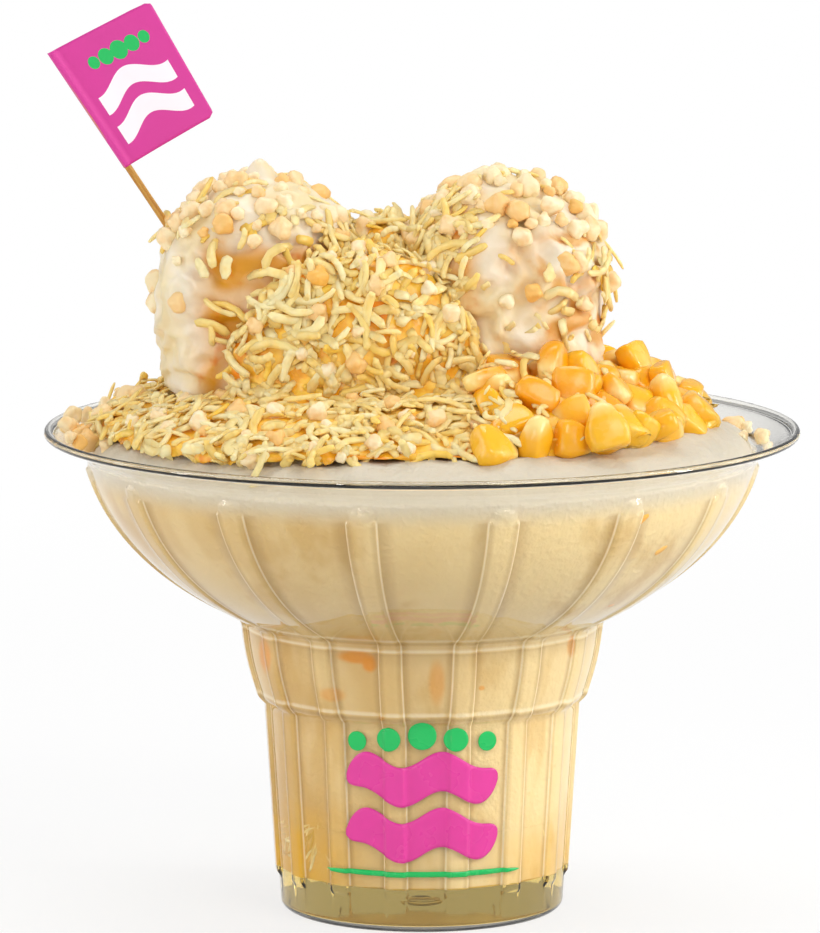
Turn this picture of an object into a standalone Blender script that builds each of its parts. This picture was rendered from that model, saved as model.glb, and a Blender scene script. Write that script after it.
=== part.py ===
"""Shaved ice dessert in its clear ribbed cup, with two scoops, grated cheese, sweetcorn and a flag on a pick.

The cup stands on z = 0 with its axis on Z. The front, where the flag reads the right way round, faces -Y.
"""

import math

import bmesh
import bpy
from mathutils import Matrix, Vector, noise

MM = 0.001
GAP = 0.3 * MM  # air between neighbouring pieces

# Cup: a tapered foot, a convex neck band, a deep bowl and a flared lip.
BASE_R = 30.1 * MM
BASE_CORNER = 2.0 * MM
FOOT_TOP_R = 32.8 * MM
FOOT_TOP_Z = 44.5 * MM
STEP_OUT = 1.9 * MM
STEP_RISE = 2.7 * MM
NECK_TOP_R = 37.7 * MM
NECK_TOP_Z = 62.0 * MM
NECK_CROWN = 0.55 * MM
BOWL_R = 71.9 * MM  # the bowl's outer side is part of an ellipse round the axis
BOWL_DEPTH = 49.6 * MM
BOWL_CENTRE_Z = 104.8 * MM
NECK_FILLET = 0.9 * MM
LIP_Z = 97.8 * MM
RIM_R = 80.0 * MM
RIM_Z = 103.1 * MM
WALL = 1.0 * MM
FLOOR = 1.4 * MM
GATE_R = 3.8 * MM
GATE_RISE = 0.5 * MM

# Ribs: upright flat bands that stand out of the cup's wall.
RIBS = 15
RIB_PHASE = math.radians(-10.3)  # the first rib, from the front towards +X
RIB_TOP_WIDTH = 5.2 * MM
RIB_FOOT_WIDTH = 3.6 * MM
RIB_SIDE = 0.6 * MM
RIB_HEIGHT = 0.6 * MM
RIB_START_Z = 3.0 * MM
RIB_END_Z = 96.4 * MM
RIB_FADE = 1.6 * MM
COLUMNS_PER_RIB = 5

# Contents
JELLY_TOP_Z = 21.0 * MM
JELLY_UNEVEN = 2.5 * MM
LAYER_GAP = 0.5 * MM  # between the jelly's uneven top and the ice
ICE_SHOULDER_Z = 96.6 * MM  # where the ice leaves the wall and curves in over the bowl
ICE_TOP_Z = 104.5 * MM
ICE_FLAT_R = 56.0 * MM
CONTENT_STEPS = 32
HEAP_TURN = math.radians(4.0)  # keeps the heaps' edges clear of the ice's, so that no two lie on one line

# Scoops: (x, y, z) of the middle, and the radius
SCOOP_R = 22.6 * MM
SCOOP_LEFT = Vector((-34.3, 0.0, 133.6)) * MM
SCOOP_RIGHT = Vector((17.4, 0.0, 134.2)) * MM
SCOOP_BOTTOM_Z = 107.5 * MM
SCOOP_UNEVEN = 0.9 * MM
SCOOP_STEPS = 24

# Cheese: a bed over the ice and a pile that fills the valley between the scoops
BED_R = 61.0 * MM
BED_SIDE_REACH = 8.0 * MM  # how much farther the bed runs towards the left
BED_EDGE_Z = 105.2 * MM
BED_RISE = 9.5 * MM
BED_UNEVEN = 2.0 * MM
PILE_FRONT = (Vector((-14.0, -18.0, 116.0)) * MM, Vector((29.0, 13.5, 27.0)) * MM)
PILE_UNEVEN = 0.12
PILE_VALLEY = (Vector((-8.5, 3.0, 122.0)) * MM, Vector((13.0, 17.0, 25.5)) * MM)

# Corn: a heap that leans on the right scoop
CORN_R = 61.5 * MM
CORN_RISE = 19.0 * MM
CORN_UNEVEN = 2.6 * MM
CORN_SIDE = ((10.0, -90.0), (14.0, -10.0), (30.0, 90.0))  # where cheese and corn meet, seen from above, mm

# Flag on its pick
PICK_LENGTH = 61.0 * MM
PICK_R = 0.75 * MM
PICK_POINT = 3.0 * MM
PICK_LEAN = math.radians(33.5)
PICK_ENTRY = Vector((-54.8, 2.0, 147.2)) * MM  # where the pick enters the left scoop
PICK_DEPTH = 20.0 * MM
FLAG_LIFT = 13.0 * MM  # from the entry to the flag's lower corner, along the pick
FLAG_CORNERS = ((0.0, 0.0), (22.2, -1.1), (24.1, 26.5), (0.0, 29.0))  # (out from its edge, up the pick), mm
FLAG_THICK = 0.4 * MM
SLEEVE_R = PICK_R + GAP + FLAG_THICK


def clear_scene():
    for obj in list(bpy.data.objects):
        bpy.data.objects.remove(obj, do_unlink=True)


def finish(name, colour, roughness, transmission=0.0):
    """A Principled material in one colour."""
    material = bpy.data.materials.new(name)
    material.use_nodes = True
    shader = material.node_tree.nodes["Principled BSDF"]
    shader.inputs["Base Color"].default_value = (*colour, 1.0)
    shader.inputs["Roughness"].default_value = roughness
    shader.inputs["Metallic"].default_value = 0.0
    shader.inputs["Transmission Weight"].default_value = transmission
    return material


def as_object(name, bm, material=None):
    """The bmesh as a named object. Without a material it is a cutter, which the render leaves out."""
    bmesh.ops.recalc_face_normals(bm, faces=bm.faces)
    mesh = bpy.data.meshes.new(name)
    bm.to_mesh(mesh)
    bm.free()
    mesh.shade_smooth()
    mesh.set_sharp_from_angle(angle=math.radians(40))
    obj = bpy.data.objects.new(name, mesh)
    bpy.context.scene.collection.objects.link(obj)
    if material:
        mesh.materials.append(material)
    else:
        obj.hide_render = True
        obj.display_type = "WIRE"
    return obj


def boolean(obj, operation, other):
    modifier = obj.modifiers.new(f"{operation.lower()} {other.name}", "BOOLEAN")
    modifier.operation = operation
    modifier.object = other
    modifier.solver = "EXACT"


def lathe(profile, steps):
    """A closed body turned round Z from (radius, height) points that start and end on the axis."""
    bm = bmesh.new()
    line = [bm.verts.new((radius, 0.0, height)) for radius, height in profile]
    edges = [bm.edges.new(pair) for pair in zip(line, line[1:])]
    bmesh.ops.spin(
        bm,
        geom=line + edges,
        cent=(0, 0, 0),
        axis=(0, 0, 1),
        angle=math.tau,
        steps=steps,
        use_merge=True,
    )
    bmesh.ops.remove_doubles(bm, verts=bm.verts, dist=1e-6)
    return bm


def spread(start, end, count):
    """count numbers from start to end, both included."""
    return [start + (end - start) * i / (count - 1) for i in range(count)]


def smooth_step(value):
    value = min(max(value, 0.0), 1.0)
    return value * value * (3 - 2 * value)


def bowl_radius(z):
    return BOWL_R * math.sqrt(max(0.0, 1 - ((BOWL_CENTRE_Z - z) / BOWL_DEPTH) ** 2))


def neck_radius(z):
    start_z, start_r = FOOT_TOP_Z + STEP_RISE, FOOT_TOP_R + STEP_OUT
    along = (z - start_z) / (NECK_TOP_Z - start_z)
    crown = NECK_CROWN * math.sin(math.pi * min(max(along, 0.0), 1.0))
    return start_r + (NECK_TOP_R - start_r) * along + crown


def outer_radius(z):
    """The cup's outer side below the lip, without its ribs."""
    if z < BASE_CORNER:
        return BASE_R - BASE_CORNER + math.sqrt(BASE_CORNER**2 - (BASE_CORNER - z) ** 2)
    if z < FOOT_TOP_Z:
        return BASE_R + (FOOT_TOP_R - BASE_R) * (z - BASE_CORNER) / (FOOT_TOP_Z - BASE_CORNER)
    if z < FOOT_TOP_Z + STEP_RISE:
        return FOOT_TOP_R + STEP_OUT * math.sin(math.pi / 2 * (z - FOOT_TOP_Z) / STEP_RISE)
    neck, bowl = neck_radius(z), bowl_radius(z)
    return (neck + bowl) / 2 + math.hypot((neck - bowl) / 2, NECK_FILLET)


def side_heights():
    """Heights at which the side is drawn, closer together where it turns."""
    return (
        spread(0.0, BASE_CORNER, 3)
        + spread(FOOT_TOP_Z, FOOT_TOP_Z + STEP_RISE, 3)
        + spread(51 * MM, NECK_TOP_Z - 2.5 * MM, 2)
        + spread(NECK_TOP_Z, NECK_TOP_Z + 7 * MM, 4)
        + spread(NECK_TOP_Z + 11 * MM, LIP_Z, 5)
    )


def inset_side(distance, low, high):
    """Points of the side moved inwards by distance, from height low to height high, bottom first."""
    points = []
    for z in side_heights():
        tiny = 0.05 * MM
        slope = (outer_radius(z + tiny) - outer_radius(max(z - tiny, 0.0))) / (2 * tiny)
        length = math.hypot(1.0, slope)
        points.append((outer_radius(z) - distance / length, z + distance * slope / length))
    inside = [p for p in points if low + 0.1 * MM < p[1] < high - 0.5 * MM]

    def radius_at(height):
        for (r0, z0), (r1, z1) in zip(points, points[1:]):
            if z0 <= height <= z1:
                return r0 + (r1 - r0) * (height - z0) / (z1 - z0)
        return points[-1][0]

    return [(radius_at(low), low)] + inside + [(radius_at(high), high)]


def cup_profile():
    underside = [(0.0, 0.0), (GATE_R, 0.0)]
    outside = [(outer_radius(z), z) for z in side_heights()]
    rim = [
        (RIM_R - 0.6 * MM, RIM_Z - 1.3 * MM),
        (RIM_R, RIM_Z - 0.7 * MM),
        (RIM_R - 0.2 * MM, RIM_Z - 0.1 * MM),
        (RIM_R - 0.9 * MM, RIM_Z),
    ]
    inside = inset_side(WALL, FLOOR, LIP_Z)[::-1]
    gate = [(GATE_R + GATE_RISE, FLOOR), (GATE_R, FLOOR + GATE_RISE), (0.0, FLOOR + GATE_RISE)]
    return underside + outside + rim + inside + gate


def rib_half_angle(radius, z):
    width = RIB_FOOT_WIDTH + (RIB_TOP_WIDTH - RIB_FOOT_WIDTH) * smooth_step((z - NECK_TOP_Z) / (LIP_Z - NECK_TOP_Z))
    return width / 2 / radius


def shape_ribs(bm):
    """Gathers the columns of the turned cup at each rib's edges and lifts the two between them."""
    pitch = math.tau / RIBS
    for vert in bm.verts:
        radius, z = vert.co.xy.length, vert.co.z
        if radius < 1e-6:
            continue
        column = round(math.atan2(vert.co.y, vert.co.x) / pitch * COLUMNS_PER_RIB)
        rib, place = divmod(column, COLUMNS_PER_RIB)
        half = rib_half_angle(max(radius, BASE_R), z)
        side = RIB_SIDE / max(radius, BASE_R)
        from_rib = (-pitch / 2, -half - side, -half, half, half + side)[place]
        angle = RIB_PHASE - math.pi / 2 + rib * pitch + from_rib
        if place in (2, 3) and z > RIB_START_Z and abs(radius - outer_radius(z)) < WALL / 3:
            radius += RIB_HEIGHT * smooth_step((RIB_END_Z - z) / RIB_FADE)
        vert.co.xy = radius * math.cos(angle), radius * math.sin(angle)


def make_cup():
    bm = lathe(cup_profile(), RIBS * COLUMNS_PER_RIB)
    shape_ribs(bm)
    as_object("cup", bm, finish("clear_plastic", (0.95, 0.93, 0.85), 0.05, transmission=1.0))


def jelly_top(x, y):
    return JELLY_UNEVEN * noise.noise(Vector((x, y, 0.0)) / (14 * MM))


def lift(bm, height, amount):
    """Moves the vertices at one height up by amount(x, y)."""
    for vert in bm.verts:
        if abs(vert.co.z - height) < 1e-7:
            vert.co.z += amount(vert.co.x, vert.co.y)


def make_jelly():
    side = inset_side(WALL + GAP, FLOOR + GATE_RISE + GAP, JELLY_TOP_Z)
    low, high = side[0][1], side[-1][1]
    top = [(r, high) for r in spread(side[-1][0], 0.0, 5)[1:]]
    bm = lathe([(0.0, low)] + side + top, CONTENT_STEPS)
    lift(bm, JELLY_TOP_Z, jelly_top)
    as_object("jelly_layer", bm, finish("jelly", (0.66, 0.42, 0.06), 0.25))


def ice_side():
    return inset_side(WALL + GAP, JELLY_TOP_Z + LAYER_GAP, ICE_SHOULDER_Z)


def ice_dome(raise_by=0.0):
    """The heaped top of the ice from just inside its edge to the axis."""
    edge_r = ice_side()[-1][0]
    points = []
    for turn in spread(0.0, math.pi / 2, 6)[1:]:
        radius = ICE_FLAT_R + (edge_r - ICE_FLAT_R + raise_by) * math.cos(turn)
        points.append((radius, ICE_SHOULDER_Z + (ICE_TOP_Z - ICE_SHOULDER_Z) * math.sin(turn) + raise_by))
    return points + [(r, ICE_TOP_Z + raise_by) for r in (30 * MM, 0.0)]


def make_ice():
    side = ice_side()
    low = side[0][1]
    bottom = [(r, low) for r in spread(0.0, side[0][0], 5)[:-1]]
    bm = lathe(bottom + side + ice_dome(), CONTENT_STEPS)
    lift(bm, low, jelly_top)
    as_object("shaved_ice", bm, finish("milky_ice", (0.72, 0.62, 0.38), 0.45))


def scoop_body(grow=0.0):
    """A ball of ice cream round the origin, flat where it sits. Its side drops almost straight below the middle."""
    bottom = SCOOP_BOTTOM_Z - SCOOP_LEFT.z
    radius = SCOOP_R + grow
    profile = [(0.0, bottom - grow), (0.82 * radius, bottom - grow), (0.93 * radius, bottom + 2 * MM - grow)]
    profile += [(0.98 * radius, bottom / 2)]
    profile += [(radius * math.cos(turn), radius * math.sin(turn)) for turn in spread(0.0, math.pi / 2, 8)]
    bm = lathe(profile, SCOOP_STEPS)
    for vert in bm.verts:
        if vert.co.z > bottom + MM:
            vert.co += vert.co.normalized() * SCOOP_UNEVEN * noise.noise(vert.co / (11 * MM))
    return bm


def make_scoops():
    """Both scoops, and the slightly larger bodies that cut their places out of the toppings."""
    cutters = []
    cream = finish("ice_cream", (0.88, 0.76, 0.55), 0.4)
    for name, place in (("scoop_left", SCOOP_LEFT), ("scoop_right", SCOOP_RIGHT)):
        as_object(name, scoop_body(), cream).location = place
        cutter = as_object(f"{name}_room", scoop_body(GAP * 1.3))
        cutter.location = place
        cutters.append(cutter)
    return cutters


def heap(radius_at, rise, uneven, sharpness):
    """A flat-bottomed mound on the ice. radius_at(angle) is its outline."""
    low = LIP_Z
    rings = (1.0, 0.99, 0.93, 0.84, 0.72, 0.58, 0.42, 0.22, 0.0)
    bm = lathe([(0.0, low), (rings[0], low)] + [(ring, BED_EDGE_Z) for ring in rings], CONTENT_STEPS)
    for vert in bm.verts:
        ring = vert.co.xy.length
        angle = math.atan2(vert.co.y, vert.co.x) + HEAP_TURN
        reach = ring * radius_at(angle)
        vert.co.xy = reach * math.cos(angle), reach * math.sin(angle)
        if vert.co.z > low + MM:
            lump = uneven * noise.noise(vert.co / (9 * MM))
            vert.co.z += rise * (1 - ring**sharpness) + lump * (1.3 - ring)
    return bm


def bed_outline(angle):
    return BED_R + BED_SIDE_REACH * max(0.0, -math.cos(angle)) + MM * math.sin(5 * angle)


def corn_outline(angle):
    return CORN_R + 1.2 * MM * math.sin(7 * angle + 1.0)


def lump_of(centre, radii):
    bm = bmesh.new()
    bmesh.ops.create_icosphere(bm, subdivisions=3, radius=1.0)
    for vert in bm.verts:
        size = 1 + PILE_UNEVEN * noise.noise(vert.co * 3)
        vert.co = centre + Vector(vert.co[i] * radii[i] * size for i in range(3))
    return bm


def corn_side(name, shift):
    """A prism over everything on the corn's side of the line between cheese and corn, moved by shift along X."""
    bm = bmesh.new()
    far = 90.0
    outline = [(x * MM + shift, y * MM) for x, y in CORN_SIDE] + [(far * MM, far * MM), (far * MM, -far * MM)]
    face = bm.faces.new([bm.verts.new((x, y, 90 * MM)) for x, y in outline])
    raised = bmesh.ops.extrude_face_region(bm, geom=[face])["geom"]
    verts = [item for item in raised if isinstance(item, bmesh.types.BMVert)]
    bmesh.ops.translate(bm, verts=verts, vec=(0, 0, 80 * MM))
    return as_object(name, bm)


def make_toppings(scoop_rooms):
    ice_room = as_object("ice_room", lathe([(0.0, 80 * MM), (75 * MM, 80 * MM)] + ice_dome(GAP), CONTENT_STEPS))

    cheese = as_object(
        "cheese_heap",
        heap(bed_outline, BED_RISE, BED_UNEVEN, 4),
        finish("cheese", (0.83, 0.65, 0.32), 0.5),
    )
    for number, (centre, radii) in enumerate((PILE_FRONT, PILE_VALLEY)):
        boolean(cheese, "UNION", as_object(f"pile_{number}", lump_of(centre, radii)))
    corn = as_object(
        "corn_heap",
        heap(corn_outline, CORN_RISE, CORN_UNEVEN, 2.6),
        finish("sweetcorn", (0.90, 0.48, 0.04), 0.3),
    )
    boolean(cheese, "DIFFERENCE", corn_side("corn_room", -GAP))
    boolean(corn, "INTERSECT", corn_side("corn_part", 0.0))
    for cutter in [ice_room] + scoop_rooms:
        boolean(cheese, "DIFFERENCE", cutter)
        boolean(corn, "DIFFERENCE", cutter)


def pick_frame():
    """Turns and moves a shape drawn up the Z axis, with the flag towards +X, onto the leaning pick."""
    return Matrix.Translation(PICK_ENTRY) @ Matrix.Rotation(-PICK_LEAN, 4, "Y")


def rod(radius, low, high, segments=12):
    bm = bmesh.new()
    bmesh.ops.create_cone(
        bm, cap_ends=True, segments=segments, radius1=radius, radius2=radius, depth=high - low
    )
    bmesh.ops.translate(bm, verts=bm.verts, vec=(0, 0, (low + high) / 2))
    return bm


def make_pick(scoop):
    top = PICK_LENGTH - PICK_DEPTH
    profile = [(0.0, -PICK_DEPTH), (PICK_R, PICK_POINT - PICK_DEPTH), (PICK_R, top - PICK_POINT), (0.0, top)]
    bm = lathe(profile, 12)
    bmesh.ops.transform(bm, matrix=pick_frame(), verts=bm.verts)
    as_object("pick", bm, finish("bamboo", (0.60, 0.40, 0.12), 0.6))

    hole = rod(PICK_R + GAP, -PICK_DEPTH - GAP, 15 * MM)
    bmesh.ops.transform(hole, matrix=pick_frame(), verts=hole.verts)
    boolean(scoop, "DIFFERENCE", as_object("pick_hole", hole))


def make_flag():
    """Paper folded round the pick: a flat sheet joined to a sleeve that is open at both ends."""
    edge = PICK_R + GAP + FLAG_THICK / 2
    bm = bmesh.new()
    corners = [(out * MM + (edge if i in (0, 3) else -SLEEVE_R), up * MM) for i, (out, up) in enumerate(FLAG_CORNERS)]
    face = bm.faces.new([bm.verts.new((x, -FLAG_THICK / 2, FLAG_LIFT + z)) for x, z in corners])
    raised = bmesh.ops.extrude_face_region(bm, geom=[face])["geom"]
    verts = [item for item in raised if isinstance(item, bmesh.types.BMVert)]
    bmesh.ops.translate(bm, verts=verts, vec=(0, FLAG_THICK, 0))
    bmesh.ops.transform(bm, matrix=pick_frame(), verts=bm.verts)
    flag = as_object("flag", bm, finish("flag_paper", (0.73, 0.05, 0.37), 0.6))

    top = FLAG_LIFT + FLAG_CORNERS[3][1] * MM
    sleeve = rod(SLEEVE_R, FLAG_LIFT, top)
    bore = rod(PICK_R + GAP, FLAG_LIFT - 2 * MM, top + 2 * MM)
    for part in (sleeve, bore):
        bmesh.ops.transform(part, matrix=pick_frame(), verts=part.verts)
    boolean(flag, "UNION", as_object("flag_sleeve", sleeve))
    boolean(flag, "DIFFERENCE", as_object("flag_bore", bore))


def main():
    clear_scene()
    make_cup()
    make_jelly()
    make_ice()
    scoop_rooms = make_scoops()
    make_toppings(scoop_rooms)
    make_pick(bpy.data.objects["scoop_left"])
    make_flag()


main()
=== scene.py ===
"""Looks for a shaved ice dessert: ribbed cup, ice over jelly, two scoops, cheese, corn and a flag.

Everything is in metres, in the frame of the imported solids: the cup stands on z = 0, the front faces -Y.
"""

import math
import random

import bmesh
import bpy
import numpy as np
from mathutils import Matrix, Vector, noise


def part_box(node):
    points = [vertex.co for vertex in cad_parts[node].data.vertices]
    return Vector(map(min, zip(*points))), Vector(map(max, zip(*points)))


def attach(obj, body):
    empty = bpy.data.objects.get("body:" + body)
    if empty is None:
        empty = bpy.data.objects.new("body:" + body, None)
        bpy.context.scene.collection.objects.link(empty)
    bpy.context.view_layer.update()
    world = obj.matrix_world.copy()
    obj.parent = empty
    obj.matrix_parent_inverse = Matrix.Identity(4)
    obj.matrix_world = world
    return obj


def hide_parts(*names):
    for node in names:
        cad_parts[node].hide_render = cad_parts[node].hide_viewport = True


bl_info = {
    "name": "Shaved Ice Dessert",
    "version": (1, 0, 0),
    "blender": (4, 5, 0),
    "location": "3D View > Sidebar > Dessert",
    "description": "Builds a shaved ice dessert in a clear ribbed cup around its solid model",
    "category": "Add Mesh",
}

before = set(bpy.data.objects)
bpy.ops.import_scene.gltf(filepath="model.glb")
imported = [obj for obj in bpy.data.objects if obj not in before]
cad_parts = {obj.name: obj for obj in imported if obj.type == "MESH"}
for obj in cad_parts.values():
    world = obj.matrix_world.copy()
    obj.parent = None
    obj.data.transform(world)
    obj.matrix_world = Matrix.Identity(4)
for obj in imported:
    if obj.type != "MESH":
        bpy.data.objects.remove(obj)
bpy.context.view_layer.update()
SCOOP_BOXES = [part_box("scoop_left"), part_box("scoop_right")]
MM = 0.001
FRONT = -math.pi / 2  # the angle round Z that faces the viewer


def linear(red, green, blue):
    """An 8-bit sRGB colour as the linear values that sockets take."""
    return tuple(
        (c / 255 / 12.92) if c <= 10 else ((c / 255 + 0.055) / 1.055) ** 2.4 for c in (red, green, blue)
    )


def smooth_step(value, low=0.0, high=1.0):
    value = min(max((value - low) / (high - low), 0.0), 1.0)
    return value * value * (3 - 2 * value)


def spread(start, end, count):
    """count numbers from start to end, both included."""
    return [start + (end - start) * i / (count - 1) for i in range(count)]


# --- Settings -------------------------------------------------------------------------------------


def length_property(name, description, millimetres):
    return bpy.props.FloatProperty(
        name=name, description=description, default=millimetres * MM, unit="LENGTH", subtype="DISTANCE"
    )


def colour_property(name, description, rgb):
    return bpy.props.FloatVectorProperty(
        name=name, description=description, default=linear(*rgb), subtype="COLOR", min=0.0, max=1.0
    )


def angle_property(name, description, degrees):
    return bpy.props.FloatProperty(
        name=name, description=description, default=math.radians(degrees), unit="ROTATION", subtype="ANGLE"
    )


class CupSettings(bpy.types.PropertyGroup):
    base_radius: length_property("Base radius", "Outer radius just above the rounded bottom edge", 30.1)
    base_corner: length_property("Bottom edge", "Rounding of the bottom edge", 2.0)
    foot_radius: length_property("Foot top radius", "Outer radius at the top of the tapered foot", 32.8)
    foot_height: length_property("Foot height", "Height of the step between foot and neck", 44.5)
    step_out: length_property("Step width", "How far the neck stands out over the foot", 1.9)
    step_rise: length_property("Step height", "Height over which the step turns out", 2.7)
    neck_radius: length_property("Neck radius", "Outer radius at the top of the neck band", 37.7)
    neck_height: length_property("Neck height", "Height of the top of the neck band", 62.0)
    neck_crown: length_property("Neck crown", "How far the neck band bulges", 0.55)
    bowl_radius: length_property("Bowl radius", "Half width of the ellipse that the bowl follows", 71.9)
    bowl_depth: length_property("Bowl depth", "Half height of that ellipse", 49.6)
    bowl_centre: length_property("Bowl centre", "Height of the middle of that ellipse", 104.8)
    neck_fillet: length_property("Neck fillet", "Rounding where the bowl meets the neck", 0.7)
    lip_height: length_property("Lip height", "Height where the bowl turns out into its lip", 97.8)
    wall: length_property("Wall", "Thickness of the wall", 1.0)
    floor: length_property("Floor", "Thickness of the floor", 1.4)
    gate_radius: length_property("Gate radius", "Radius of the moulding mark on the floor", 3.8)
    gate_rise: length_property("Gate rise", "Height of the moulding mark", 0.5)
    rib_count: bpy.props.IntProperty(name="Ribs", description="Number of upright ribs", default=15, min=3)
    rib_phase: angle_property("Rib phase", "Angle of the first rib from the front", -10.3)
    rib_top_width: length_property("Rib width, top", "Width of a rib at its top", 5.2)
    rib_foot_width: length_property("Rib width, foot", "Width of a rib from the neck down", 3.6)
    rib_side: length_property("Rib side", "Width of the slope at each side of a rib", 0.8)
    rib_height: length_property("Rib height", "How far a rib stands out", 0.75)
    rib_start: length_property("Rib start", "Height where the ribs begin", 7.0)
    rib_end: length_property("Rib end", "Height of the ribs' rounded tops", 96.2)
    plastic: colour_property("Plastic", "Tint of the clear plastic", (252, 250, 244))
    ink: colour_property("Ink", "Main printed colour", (226, 54, 156))
    second_ink: colour_property("Second ink", "Second printed colour", (0, 190, 92))


class FillingSettings(bpy.types.PropertyGroup):
    jelly_height: length_property("Jelly height", "Mean height of the top of the yellow layer", 21.0)
    clear_height: length_property("Syrup height", "Depth of the clear syrup under the yellow layer", 9.4)
    syrup: colour_property("Syrup", "Tint of the clear syrup at the bottom", (240, 216, 132))
    bite: length_property("Bite", "How far the filling reaches into the wall", 0.15)
    shoulder_height: length_property("Shoulder", "Height where the ice leaves the wall", 96.6)
    ice_height: length_property("Ice height", "Height of the ice's heaped top", 104.3)
    flat_radius: length_property("Flat radius", "Radius inside which the ice's top is level", 56.0)
    white: colour_property("White ice", "Fresh ice at the top", (210, 200, 180))
    # Cream and tan are the ice's own tones in its streaks. Their change from tan on the left to cream on the right is
    # painted shade and painted light, darker away from the light.
    cream: colour_property("Creamy ice", "Ice soaked in sweet milk, on the light side", (238, 217, 166))
    tan: colour_property("Tan ice", "Ice soaked in syrup, on the dark side", (206, 166, 84))
    jelly: colour_property("Jelly", "The yellow layer", (222, 172, 22))
    fruit: colour_property("Sunk fruit", "Soft orange fruit in the ice", (232, 152, 6))
    glint: colour_property("Glint", "Light gathered along the cup's moulded edges", (253, 246, 226))
    strands: colour_property("Strands", "Pale fruit strands in the yellow layer", (244, 224, 150))


class ToppingSettings(bpy.types.PropertyGroup):
    scoop_radius: length_property("Scoop radius", "Radius of each scoop under its toppings", 21.8)
    scoop_cream: colour_property("Ice cream", "Colour of the ice cream", (240, 227, 202))
    # The syrup's gold is also painted as shade in the right scoop's hollow.
    scoop_gold: colour_property("Syrup", "Golden syrup and melted cheese on the scoops", (216, 150, 22))
    shred_width: length_property("Shred width", "Width of a shred of cheese", 2.5)
    shred_thick: length_property("Shred thickness", "Thickness of a shred of cheese", 0.95)
    cheese_pale: colour_property("Pale cheese", "The palest shreds", (254, 236, 174))
    cheese_deep: colour_property("Deep cheese", "The yellowest shreds", (253, 204, 76))
    # Melted cheese, and painted shade in the gaps between the shreds and between the kernels.
    cheese_core_and_gap_shade: colour_property("Cheese gaps", "What shows between the shreds", (242, 172, 34))
    crumb_pale: colour_property("Pale crumb", "Puffed crumbs, pale ones", (252, 236, 196))
    crumb_tan: colour_property("Tan crumb", "Puffed crumbs, toasted ones", (242, 184, 84))
    kernel_size: length_property("Kernel size", "Width of a kernel of corn", 10.4)
    kernel_gold: colour_property("Kernel", "Body of a kernel", (252, 192, 36))
    kernel_deep: colour_property("Deep kernel", "The most orange kernels", (246, 166, 20))
    kernel_tip: colour_property("Kernel tip", "The pale end of a kernel", (252, 226, 148))


class FlagSettings(bpy.types.PropertyGroup):
    lean: angle_property("Lean", "Lean of the pick from upright", 33.5)
    pick_radius: length_property("Pick radius", "Radius of the pick", 0.75)
    pick_length: length_property("Pick length", "Whole length of the pick", 61.0)
    depth: length_property("Depth", "How deep the pick stands in the scoop", 20.0)
    lift: length_property("Flag lift", "From the scoop to the flag's lower corner, along the pick", 13.0)
    paper: colour_property("Paper", "Printed colour of the flag", (214, 52, 152))
    mark: colour_property("Mark", "Pale pattern on the flag", (250, 244, 250))
    dots: colour_property("Dots", "Second pattern on the flag", (0, 190, 92))
    bamboo: colour_property("Bamboo", "Colour of the pick", (204, 154, 66))


class StageSettings(bpy.types.PropertyGroup):
    distance: length_property("Camera distance", "From the camera to its target", 1500.0)
    pitch: angle_property("Pitch", "How far the camera looks down", 8.51)
    aim_height: length_property("Aim height", "Height of the camera's target", 94.4)
    aside: length_property("Aside", "How far the target lies left of the axis", 2.54)
    lens: bpy.props.FloatProperty(name="Lens", description="Focal length in mm", default=273.7)
    floor: colour_property("Floor", "The pale floor and backdrop", (250, 250, 250))


SETTINGS = {
    "dessert_cup": CupSettings,
    "dessert_filling": FillingSettings,
    "dessert_topping": ToppingSettings,
    "dessert_flag": FlagSettings,
    "dessert_stage": StageSettings,
}


# --- Node helpers and shared groups ---------------------------------------------------------------


def add(tree, kind, inputs=None, **settings):
    """A node with its settings. An input given as a socket is linked, any other is set."""
    node = tree.nodes.new(kind)
    for name, value in settings.items():
        setattr(node, name, value)
    for name, value in (inputs or {}).items():
        socket = node.inputs[name]
        if isinstance(value, bpy.types.NodeSocket):
            tree.links.new(value, socket)
        elif socket.type == "RGBA":
            socket.default_value = (*value, 1.0) if len(value) == 3 else value
        else:
            socket.default_value = value
    return node


def vector_math(tree, operation, *inputs):
    return add(tree, "ShaderNodeVectorMath", dict(enumerate(inputs)), operation=operation)


def mix(tree, factor, first, second, blend="MIX"):
    """The colour between first and second."""
    node = tree.nodes.new("ShaderNodeMix")
    node.data_type = "RGBA"
    node.blend_type = blend
    for index, value in ((0, factor), (6, first), (7, second)):
        if isinstance(value, bpy.types.NodeSocket):
            tree.links.new(value, node.inputs[index])
        elif index:
            node.inputs[index].default_value = (*value, 1.0)
        else:
            node.inputs[index].default_value = value
    return node.outputs[2]


def math_node(tree, operation, first, second=0.0):
    return add(tree, "ShaderNodeMath", {0: first, 1: second}, operation=operation).outputs[0]


def ramp(tree, value, low, high):
    """value taken from low..high to 0..1, eased at both ends."""
    inputs = {"Value": value, "From Min": low, "From Max": high}
    return add(tree, "ShaderNodeMapRange", inputs, interpolation_type="SMOOTHSTEP").outputs["Result"]


def attribute(tree, name):
    return add(tree, "ShaderNodeAttribute", attribute_name=name).outputs["Fac"]


def object_point(tree):
    return add(tree, "ShaderNodeTexCoord").outputs["Object"]


def axis(tree, point, name):
    return add(tree, "ShaderNodeSeparateXYZ", {0: point}).outputs[name]


def new_group(name, sockets):
    """An empty node group with a Vector input, the named float inputs, and the outputs."""
    group = bpy.data.node_groups.new(name, "ShaderNodeTree")
    for label, direction, kind in sockets:
        group.interface.new_socket(name=label, in_out=direction, socket_type=kind)
    return group, group.nodes.new("NodeGroupInput"), group.nodes.new("NodeGroupOutput")


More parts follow.
